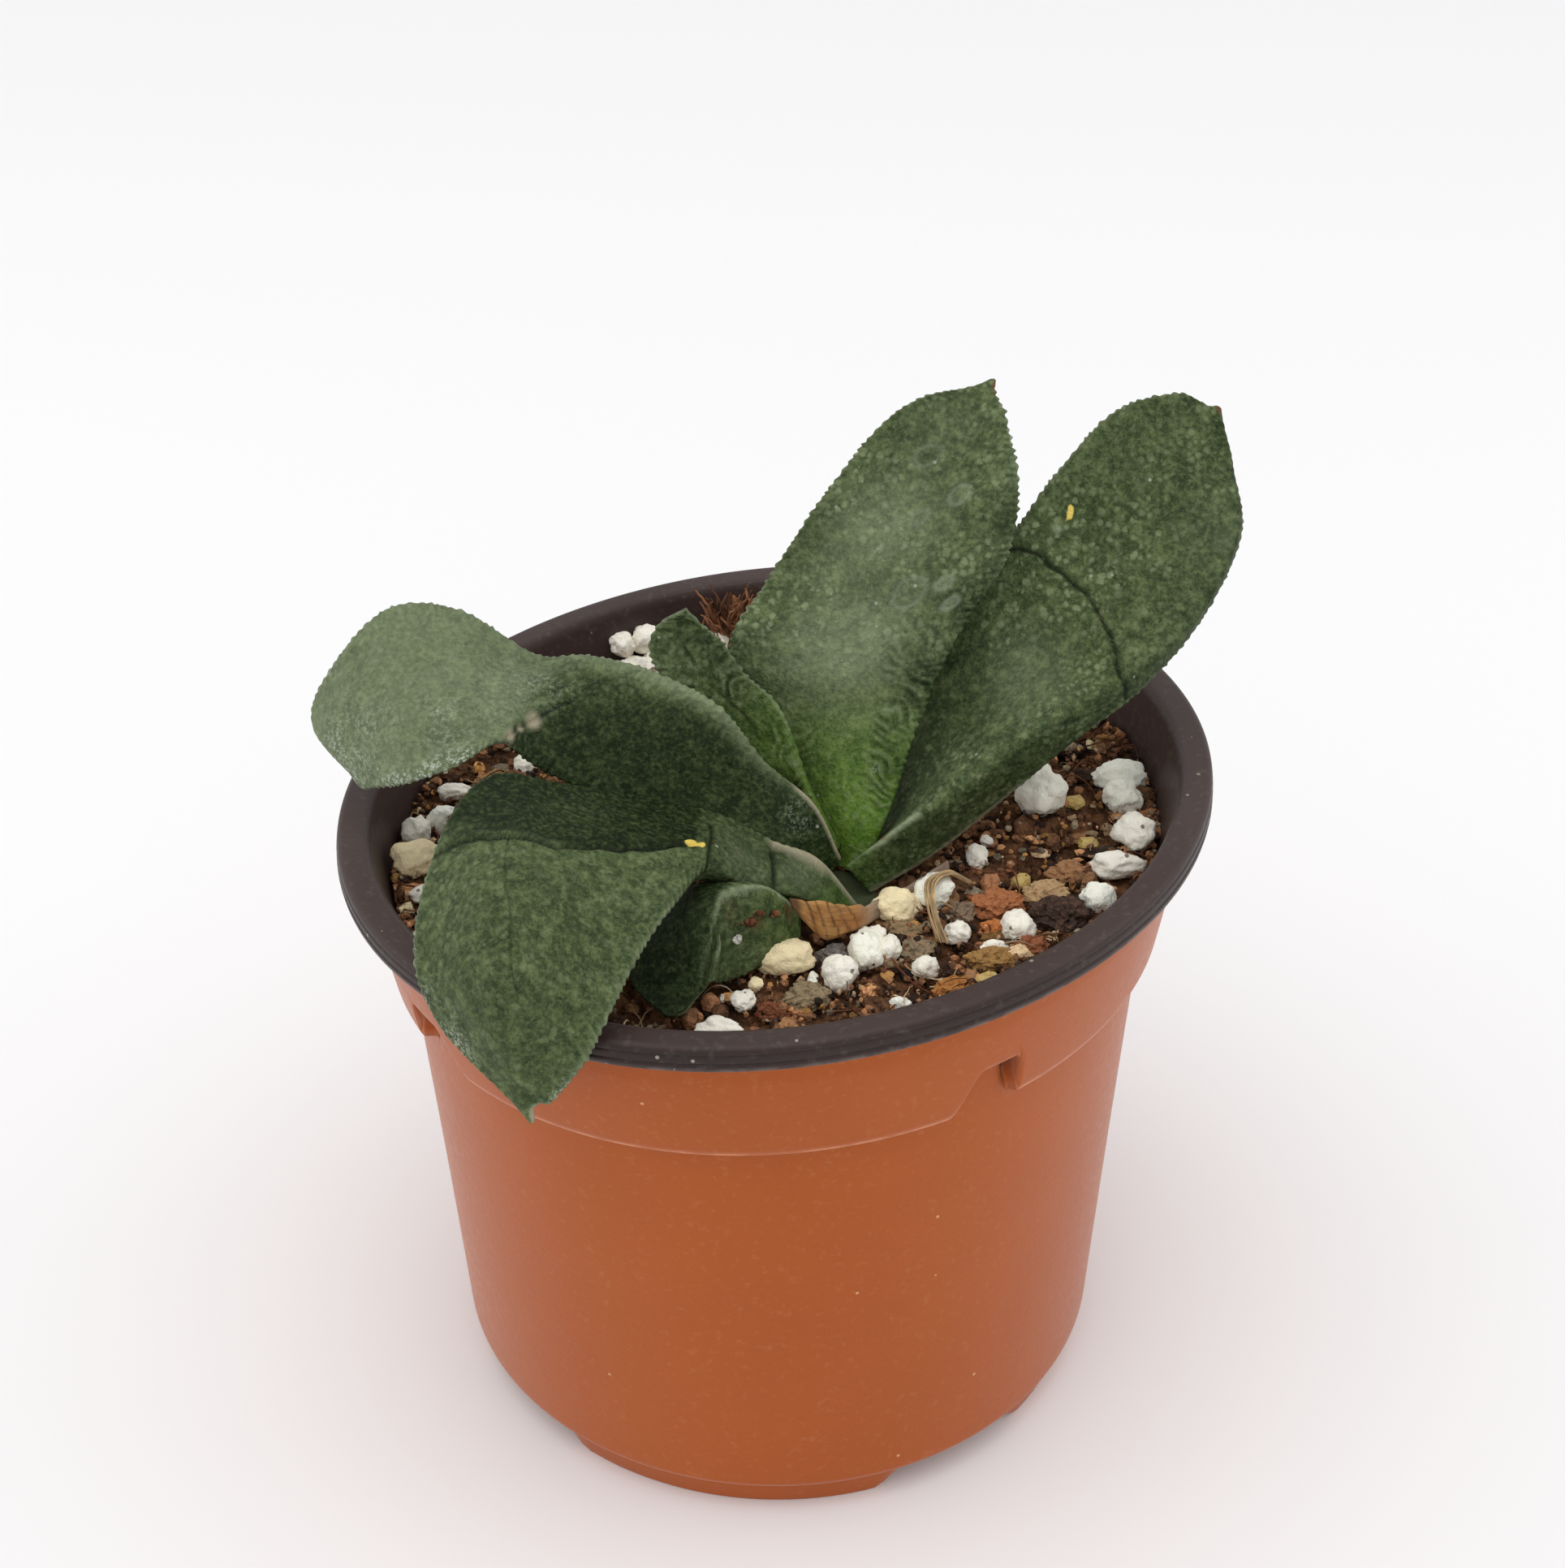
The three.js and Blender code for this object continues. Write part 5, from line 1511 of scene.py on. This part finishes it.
def leaf_finish(settings):
    """Dark fleshy skin: mottled greens, pale raised dots, scurf with painted highlights, painted shade in the
    creases and shaded parts, and scars.
    """
    skin = Finish("Gasteria leaf skin")
    dotted = skin.parts(skin.stored("leaf_dots"))[0]
    pale, green, crease_shade = skin.parts(skin.stored("leaf_tone"))
    cream, brown, white = skin.parts(skin.stored("leaf_marks"))
    ring, shade, beige = skin.parts(skin.stored("leaf_rings"))
    cloud, patches = skin.mottle(75.0, 1.7), skin.mottle(240.0, 3.0)
    blotch, speckle, pores = skin.mottle(580.0, 2.8), skin.mottle(1700.0, 3.2), skin.mottle(3800.0, 3.2)
    dots = raised_dots(skin, settings.dot_spacing, cloud, dotted)
    deep, light = opaque(settings.leaf_deep), opaque(settings.leaf_light)
    skin.base = skin.mix(cloud, opaque(settings.leaf_dark), opaque(settings.leaf_mid))
    skin.vary(blotch, light, 0.55, deep, 0.62)
    bright = skin.mix(blotch, opaque(settings.leaf_bright), tone(122, 162, 40))
    skin.cover(green, bright, skin.fit(cloud, 0.1, 0.6, 0.8, 1.0))
    skin.vary(speckle, light, 0.36, deep, 0.42)
    skin.cover(dots, opaque(settings.dot_colour), 0.75)
    skin.vary(pores, light, 0.22, deep, 0.25, 0.45)
    # Pale bloom, in part painted highlight on wrinkle crests, lit edges and lit faces.
    bloom_and_highlight_share = skin.times(skin.fit(speckle, 0.1, 0.8, 0.75, 1.0), skin.fit(cloud, 0.2, 0.8, 0.7, 1.3))
    skin.cover(pale, opaque(settings.bloom_and_highlight_colour), bloom_and_highlight_share)
    skin.darken(skin.times(shade, skin.fit(speckle, 0.35, 0.85, 1.0, 0.75)), (0.10, 0.16, 0.06, 1.0))
    skin.cover(ring, tone(150, 164, 142), 0.38)
    # Painted shade in the creases.
    skin.cover(crease_shade, tone(18, 23, 14), 0.9)
    crumbly = calculate(skin.tree, "MULTIPLY_ADD", pores, 0.5, skin.times(speckle, 0.5))
    crumbly = skin.times(skin.fit(crumbly, 0.5, 0.66), skin.fit(patches, 0.25, 0.75, 0.1, 1.0))
    skin.cover(white, tone(190, 197, 184), crumbly)
    skin.cover(skin.fit(beige, 0.15, 0.8, 0.0, 0.9), tone(172, 164, 138))
    skin.cover(skin.fit(cream, 0.3, 0.6), tone(236, 208, 104))
    skin.cover(skin.fit(brown, 0.2, 0.8, 0.0, 0.85), tone(118, 74, 52))
    skin.cover(skin.flecks(420.0, 0.09, 0.12), tone(186, 194, 180), 0.5)
    height = calculate(skin.tree, "MULTIPLY_ADD", speckle, 0.4, skin.times(pores, 0.12))
    height = calculate(skin.tree, "MULTIPLY_ADD", blotch, 0.6, height)
    height = calculate(skin.tree, "MULTIPLY_ADD", dots, 0.5, height)
    skin.relief(height, 0.00028)
    rough = calculate(skin.tree, "ADD", skin.fit(speckle, 0.2, 0.8, 0.42, 0.6), skin.times(pale, 0.2))
    return skin.done(rough, 0.13)


def plastic_finish(name, light, shade, worn_and_lit, dust, dust_share, roughness, sheen):
    """Moulded plastic with slight mottling, dust, paler edges that are part wear and part painted highlight,
    and painted shade in the lug slots and on the rim's outer side.
    """
    plastic = Finish(name)
    wear, groove, side = plastic.parts(plastic.stored("pot_wear"))
    cloud, patches, fine = plastic.mottle(24.0, 1.6), plastic.mottle(260.0, 3.0), plastic.mottle(900.0, 2.2)
    plastic.base = plastic.mix(cloud, opaque(light), opaque(shade))
    # Painted shade: the rim's outer side darker than its top.
    plastic.darken(side, (0.62, 0.58, 0.58, 1))
    plastic.cover(plastic.fit(fine, 0.6, 1.0, 0.0, 0.1), dust)
    plastic.cover(plastic.flecks(520.0, 0.12, dust_share), dust, 0.7)
    # Pale edge lines, part wear and part painted highlight.
    plastic.cover(wear, worn_and_lit, plastic.fit(patches, 0.3, 0.7, 0.25, 0.9))
    # Painted shade in the slot beside each lug.
    plastic.cover(groove, tone(92, 38, 16), 0.75)
    plastic.shader.inputs["Sheen Weight"].default_value = sheen
    plastic.shader.inputs["Sheen Roughness"].default_value = 0.45
    plastic.grain(1400.0, 0.6, 0.00003)
    return plastic.done(plastic.fit(fine, 0.2, 0.9, roughness - 0.04, roughness + 0.08), 0.24)


def soil_finish(settings, name, crumbs):
    """Matt peat: reddish brown to nearly black, with tan bark bits. Loose crumbs have their own colours."""
    peat = Finish(name)
    fine = peat.mottle(1100.0, 2.6)
    if crumbs:
        peat.base = peat.stored("lump_colour")
        peat.darken(peat.fit(fine, 0.0, 0.5, 0.8, 0.0), (0.3, 0.26, 0.24, 1))
    else:
        peat.base = peat.mix(peat.mottle(300.0, 3.6), opaque(settings.peat_dark), opaque(settings.peat_red))
        peat.cover(peat.fit(fine, 0.0, 0.4, 0.7, 0.0), tone(26, 16, 12))
    peat.cover(peat.fit(fine, 0.6, 1.0, 0.0, 0.5), tone(150, 106, 76))
    peat.cover(peat.flecks(560.0, 0.2, 0.04), tone(212, 200, 180), 0.75)
    peat.grain(1300.0, 1.2, 0.0009)
    return peat.done(peat.fit(fine, 0.0, 1.0, 0.8, 1.0), 0.15)


def perlite_finish():
    """Chalky perlite with fine pits, cream patches and soil specks."""
    chalk = Finish("Chalky perlite")
    cloud = chalk.mottle(380.0, 2.0)
    chalk.base = chalk.stored("lump_colour")
    chalk.cover(chalk.fit(cloud, 0.5, 1.0, 0.0, 0.4), tone(226, 212, 182))
    chalk.cover(chalk.flecks(800.0, 0.24, 0.08), tone(84, 66, 50), 0.8)
    chalk.grain(1500.0, 1.0, 0.00035)
    return chalk.done(chalk.fit(cloud, 0.0, 1.0, 0.75, 0.95), 0.2)


def grit_finish():
    """Golden grit with darker veins."""
    grit = Finish("Golden grit")
    cloud = grit.mottle(900.0, 2.2)
    grit.base = grit.stored("lump_colour")
    grit.cover(grit.fit(cloud, 0.3, 0.9, 0.0, 0.8), tone(160, 124, 62))
    grit.grain(2600.0, 0.8, 0.00015)
    return grit.done(grit.fit(cloud, 0.0, 1.0, 0.5, 0.75))


def dry_surface(fibre, cloud):
    """Fine grain and matt roughness of bark and dry fibre, and the finished material."""
    fibre.grain(1800.0, 0.8, 0.0001)
    return fibre.done(fibre.fit(cloud, 0.0, 1.0, 0.65, 0.9), 0.3)


def bark_finish():
    """Pale bark of the roots, with a leafy green top to the stem."""
    bark = Finish("Root bark")
    cloud = bark.mottle(600.0, 1.8)
    bark.base = bark.mix(cloud, tone(112, 84, 56), tone(176, 146, 108))
    bark.cover(bark.fit(bark.parts(bark.place)["Z"], 0.0755, 0.077), tone(66, 74, 48))
    return dry_surface(bark, cloud)


def fibre_finish():
    """Dry fibre, each strand in its own colour."""
    fibre = Finish("Dry fibre")
    cloud = fibre.mottle(600.0, 1.8)
    fibre.base = fibre.stored("lump_colour")
    fibre.darken(fibre.fit(cloud, 0.2, 0.9, 0.7, 0.0), (0.4, 0.36, 0.34, 1))
    return dry_surface(fibre, cloud)


def sheath_finish():
    """Dry paper: tan with dark veins at its broad end, pinkish grey-brown along its strip."""
    paper = Finish("Papery sheath")
    along, vein, start_darkening = paper.parts(paper.stored("sheath_tone"))
    lengthwise = paper.move("MULTIPLY", paper.stored("sheath_place"), (1.0, 0.2, 0.0))
    fibre, cloud = paper.mottle(1100.0, 2.4, lengthwise), paper.mottle(300.0, 2.0)
    tan = paper.mix(cloud, tone(206, 158, 96), tone(148, 92, 44))
    strip = paper.mix(cloud, tone(166, 148, 130), tone(128, 108, 94))
    paper.base = paper.mix(paper.fit(along, 0.42, 0.56), tan, strip)
    paper.cover(paper.fit(fibre, 0.6, 1.0, 0.0, 0.5), tone(86, 56, 34))
    paper.cover(paper.fit(fibre, 0.0, 0.3, 0.4, 0.0), tone(206, 180, 142))
    paper.cover(vein, tone(58, 34, 20), 0.85)
    # Darker towards the sheath's start.
    paper.cover(start_darkening, tone(62, 40, 26), 0.8)
    paper.relief(fibre, 0.0002)
    return paper.done(paper.fit(cloud, 0.0, 1.0, 0.55, 0.8), 0.3)


def studio_finish(settings):
    """Matt white paper of the floor and backdrop."""
    paper = Finish("White paper sweep")
    colour = opaque(settings.floor_colour)
    paper.base = paper.mix(paper.mottle(3.0, 0.6), colour, opaque(c * 0.985 for c in colour[:3]))
    return paper.done(0.9, 0.1)


# ---------------------------------------------------------------------------------------- settings


def colour_setting(name, description, *screen_values):
    """Colour property, from screen values from 0 to 255."""
    return FloatVectorProperty(name=name, description=description, subtype="COLOR", size=3, min=0, max=1,
                               default=tone(*screen_values)[:3])


def length_setting(name, description, value, least, most):
    """Length property in metres."""
    return FloatProperty(name=name, description=description, default=value, min=least, max=most,
                         unit="LENGTH")


def count_setting(name, description, value, most):
    """Whole number property."""
    return IntProperty(name=name, description=description, default=value, min=0, max=most)


def power_setting(name, description, value):
    """Power property in watts."""
    return FloatProperty(name=name, description=description, default=value, min=0, unit="POWER")


class GasteriaPlantSettings(bpy.types.PropertyGroup):
    """Sizes and colours of the plant."""

    tooth_height: length_setting("Tooth Height", "Height of the teeth on the leaf margins", 0.00042, 0, 0.002)
    rib_length: length_setting("Rib Length", "Reach of the ribs that run inward from the teeth",
                               0.0022, 0.0005, 0.01)
    tooth_pitch: length_setting("Tooth Pitch", "Distance between the teeth on the leaf margins",
                                0.00108, 0.0005, 0.005)
    dot_spacing: length_setting("Dot Spacing", "Mean distance between the raised leaf dots",
                                0.001, 0.0005, 0.005)
    leaf_deep: colour_setting("Leaf Deep", "Deepest green between the mottles", 24, 36, 16)
    leaf_dark: colour_setting("Leaf Dark", "Darker green of the leaves", 50, 68, 34)
    leaf_mid: colour_setting("Leaf Middle", "Middle green of the leaves", 74, 90, 50)
    leaf_light: colour_setting("Leaf Light", "Pale olive of the mottles", 122, 134, 90)
    leaf_bright: colour_setting("Leaf Base", "Bright green at the base of the leaves", 72, 118, 0)
    dot_colour: colour_setting("Dots", "Colour of the raised leaf dots", 146, 158, 118)
    # This colour also serves for painted highlights on the crests, lit edges and lit faces of the leaves.
    bloom_and_highlight_colour: colour_setting("Scurf", "Pale bloom on the leaves and their margins", 152, 163, 130)


class GasteriaPotSettings(bpy.types.PropertyGroup):
    """Colours of the pot and the make-up of the soil."""

    terracotta: colour_setting("Terracotta", "Lighter tone of the pot's outside", 173, 83, 4)
    terracotta_shade: colour_setting("Terracotta Shade", "Darker tone of the pot's outside", 162, 74, 2)
    rim_light: colour_setting("Rim", "Lighter tone of the pot's rim and inside", 76, 61, 57)
    rim_dark: colour_setting("Rim Shade", "Darker tone of the pot's rim and inside", 56, 43, 41)
    peat_dark: colour_setting("Peat Dark", "Darkest tone of the peat", 36, 23, 17)
    peat_red: colour_setting("Peat Red", "Reddish tone of the peat", 144, 100, 68)
    crumb_count: count_setting("Crumbs", "Number of loose peat crumbs", 1300, 2300)
    fine_count: count_setting("Fine Crumbs", "Number of the finest peat crumbs", 5500, 9000)
    perlite_count: count_setting("Small Perlite", "Number of small perlite grains", 46, 90)
    clump_count: count_setting("Clumps", "Number of larger peat clumps besides the main ones", 90, 150)
    fibre_count: count_setting("Fibres", "Number of root fibres on the soil", 260, 600)
    seed: count_setting("Seed", "Start of the random placing", 5, 999)


class GasteriaStageSettings(bpy.types.PropertyGroup):
    """Floor, light and camera."""

    floor_colour: colour_setting("Floor", "White of the floor and backdrop", 247, 247, 248)
    key_power: power_setting("Key Light", "Power of the soft light above", 2.0)
    side_power: power_setting("Side Light", "Power of the soft lights at the sides", 0.8)
    sky_strength: FloatProperty(name="Surroundings", description="Brightness of the white surroundings",
                                default=0.85, min=0)
    lens: FloatProperty(name="Lens", description="Focal length of the camera in millimetres", default=67.12,
                        min=10, subtype="DISTANCE_CAMERA")


# ---------------------------------------------------------------------------------------- stage


def add_object(name, data):
    """New object in the scene."""
    thing = bpy.data.objects.new(name, data)
    bpy.context.scene.collection.objects.link(thing)
    return thing


def build_sweep(settings):
    """White floor that curves up behind into the backdrop, in metres."""
    half, front, back, radius, top, steps = 2.2, -2.2, 1.4, 0.5, 1.6, 12
    profile = [(front, 0.0), (back, 0.0)]
    for k in range(1, steps + 1):
        angle = k / steps * math.pi / 2
        profile.append((back + radius * math.sin(angle), radius * (1 - math.cos(angle))))
    profile.append((back + radius, top))
    points = [(x, y, z) for y, z in profile for x in (-half, half)]
    faces = [(2 * k, 2 * k + 1, 2 * k + 3, 2 * k + 2) for k in range(len(profile) - 1)]
    mesh = bpy.data.meshes.new("white_sweep")
    mesh.from_pydata(points, [], faces)
    mesh.materials.append(studio_finish(settings))
    mesh.polygons.foreach_set("use_smooth", [True] * len(faces))
    sweep = add_object("white_sweep", mesh)


def soft_light(name, place, size, power):
    """Square area light aimed at the plant."""
    lamp = bpy.data.lights.new(name, "AREA")
    lamp.shape = "SQUARE"
    lamp.size = size
    lamp.energy = power
    holder = add_object(name, lamp)
    holder.location = place
    holder.rotation_euler = (Vector(LIT_PLACE) - Vector(place)).to_track_quat("-Z", "Y").to_euler()


def build_lights(settings):
    """Soft light from above and from both sides, in white surroundings."""
    soft_light("overhead_softbox", (-0.1, -0.2, 0.95), 0.8, settings.key_power)
    soft_light("left_softbox", (-0.8, 0.05, 0.45), 0.6, settings.side_power)
    soft_light("right_softbox", (0.8, 0.05, 0.45), 0.6, settings.side_power)
    world = bpy.data.worlds.new("White surroundings")
    world.use_nodes = True
    backing = world.node_tree.nodes["Background"]
    backing.inputs["Color"].default_value = (1.0, 1.0, 1.0, 1.0)
    backing.inputs["Strength"].default_value = settings.sky_strength
    bpy.context.scene.world = world


def build_camera(settings):
    """Camera in front of the pot, looking down on it."""
    camera = bpy.data.cameras.new("gasteria_camera")
    camera.lens = settings.lens
    camera.sensor_width = 36.0
    camera.sensor_fit = "AUTO"
    camera.clip_start = 0.01
    camera.clip_end = 20.0
    holder = add_object("gasteria_camera", camera)
    holder.location = Vector(CAMERA_PLACE) + Vector(AXIS)
    holder.rotation_euler = (math.radians(CAMERA_PITCH), 0.0, CAMERA_TURN)
    bpy.context.scene.camera = holder


# ---------------------------------------------------------------------------------------- operators


class GASTERIA_OT_leaves(bpy.types.Operator):
    """Build the six fleshy leaves"""

    bl_idname = "gasteria.leaves"
    bl_label = "Leaves"

    def execute(self, context):
        settings = context.scene.gasteria_plant
        skin = leaf_finish(settings)
        for number, (name, spec) in enumerate(LEAVES.items()):
            build_leaf(name, spec, settings, skin, FIRST_LEAF_SEED + number * LEAF_SEED_STEP)
        return {"FINISHED"}


class GASTERIA_OT_sheath(bpy.types.Operator):
    """Build the dried sheath at the foot of the leaves"""

    bl_idname = "gasteria.sheath"
    bl_label = "Dry Sheath"

    def execute(self, context):
        build_sheath(sheath_finish())
        return {"FINISHED"}


class GASTERIA_OT_roots(bpy.types.Operator):
    """Give the stem and its roots their bark, and lay the loose fibres on the soil"""

    bl_idname = "gasteria.roots"
    bl_label = "Stem, Roots and Fibres"

    def execute(self, context):
        bark = bark_finish()
        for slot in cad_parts["stem_with_roots"].material_slots:
            slot.material = bark
        build_fibres(context.scene.gasteria_pot, fibre_finish())
        return {"FINISHED"}


class GASTERIA_OT_soil(bpy.types.Operator):
    """Build the soil and its crumbs"""

    bl_idname = "gasteria.soil"
    bl_label = "Soil"

    def execute(self, context):
        settings = context.scene.gasteria_pot
        build_soil(settings, soil_finish(settings, "Peat", False))
        crumbs = soil_finish(settings, "Peat crumbs", True)
        build_crumbs(settings, crumbs)
        build_fines(settings, crumbs)
        build_clumps(settings, crumbs)
        return {"FINISHED"}


class GASTERIA_OT_grains(bpy.types.Operator):
    """Build the perlite and the grit"""

    bl_idname = "gasteria.grains"
    bl_label = "Perlite and Grit"

    def execute(self, context):
        build_perlite(context.scene.gasteria_pot, perlite_finish())
        build_grit(grit_finish())
        return {"FINISHED"}


class GASTERIA_OT_pot(bpy.types.Operator):
    """Build the two-tone nursery pot"""

    bl_idname = "gasteria.pot"
    bl_label = "Pot"

    def execute(self, context):
        settings = context.scene.gasteria_pot
        terracotta = plastic_finish("Terracotta plastic", settings.terracotta, settings.terracotta_shade,
                                    worn_and_lit=tone(214, 136, 92), dust=tone(222, 170, 128), dust_share=0.02,
                                    roughness=0.4, sheen=0.16)
        dark = plastic_finish("Brown-black plastic", settings.rim_light, settings.rim_dark,
                              worn_and_lit=tone(118, 106, 101), dust=tone(170, 160, 150), dust_share=0.15,
                              roughness=0.42, sheen=0.0)
        build_pot(terracotta, dark)
        return {"FINISHED"}


class GASTERIA_OT_stage(bpy.types.Operator):
    """Set up the white floor and backdrop, the soft lights and the camera"""

    bl_idname = "gasteria.stage"
    bl_label = "Stage"

    def execute(self, context):
        settings = context.scene.gasteria_stage
        build_sweep(settings)
        build_lights(settings)
        build_camera(settings)
        context.scene.view_settings.view_transform = "Standard"
        return {"FINISHED"}


class GASTERIA_PT_parts(bpy.types.Panel):
    """Parts of the potted gasteria"""

    bl_idname = "GASTERIA_PT_parts"
    bl_label = "Potted Gasteria"
    bl_space_type = "VIEW_3D"
    bl_region_type = "UI"
    bl_category = "Gasteria"

    def draw(self, context):
        layout = self.layout
        for operator in OPERATORS:
            layout.operator(operator.bl_idname)
        for group in (context.scene.gasteria_plant, context.scene.gasteria_pot, context.scene.gasteria_stage):
            box = layout.box()
            for name in group.__annotations__:
                box.prop(group, name)


OPERATORS = (
    GASTERIA_OT_stage,
    GASTERIA_OT_pot,
    GASTERIA_OT_soil,
    GASTERIA_OT_grains,
    GASTERIA_OT_roots,
    GASTERIA_OT_sheath,
    GASTERIA_OT_leaves,
)
SETTINGS = {
    "gasteria_plant": GasteriaPlantSettings,
    "gasteria_pot": GasteriaPotSettings,
    "gasteria_stage": GasteriaStageSettings,
}


def register():
    """Make the settings, operators and panel known."""
    for kind in (*SETTINGS.values(), *OPERATORS, GASTERIA_PT_parts):
        bpy.utils.register_class(kind)
    for name, kind in SETTINGS.items():
        setattr(bpy.types.Scene, name, PointerProperty(type=kind))


def unregister():
    """Take the settings, operators and panel away again."""
    for name in SETTINGS:
        delattr(bpy.types.Scene, name)
    for kind in (GASTERIA_PT_parts, *reversed(OPERATORS), *SETTINGS.values()):
        bpy.utils.unregister_class(kind)


def main():
    """Build every part in order."""
    register()
    for operator in OPERATORS:
        group, name = operator.bl_idname.split(".")
        if getattr(getattr(bpy.ops, group), name)() != {"FINISHED"}:
            raise RuntimeError(operator.bl_label + " could not be built")


if __name__ == "__main__":
    main()
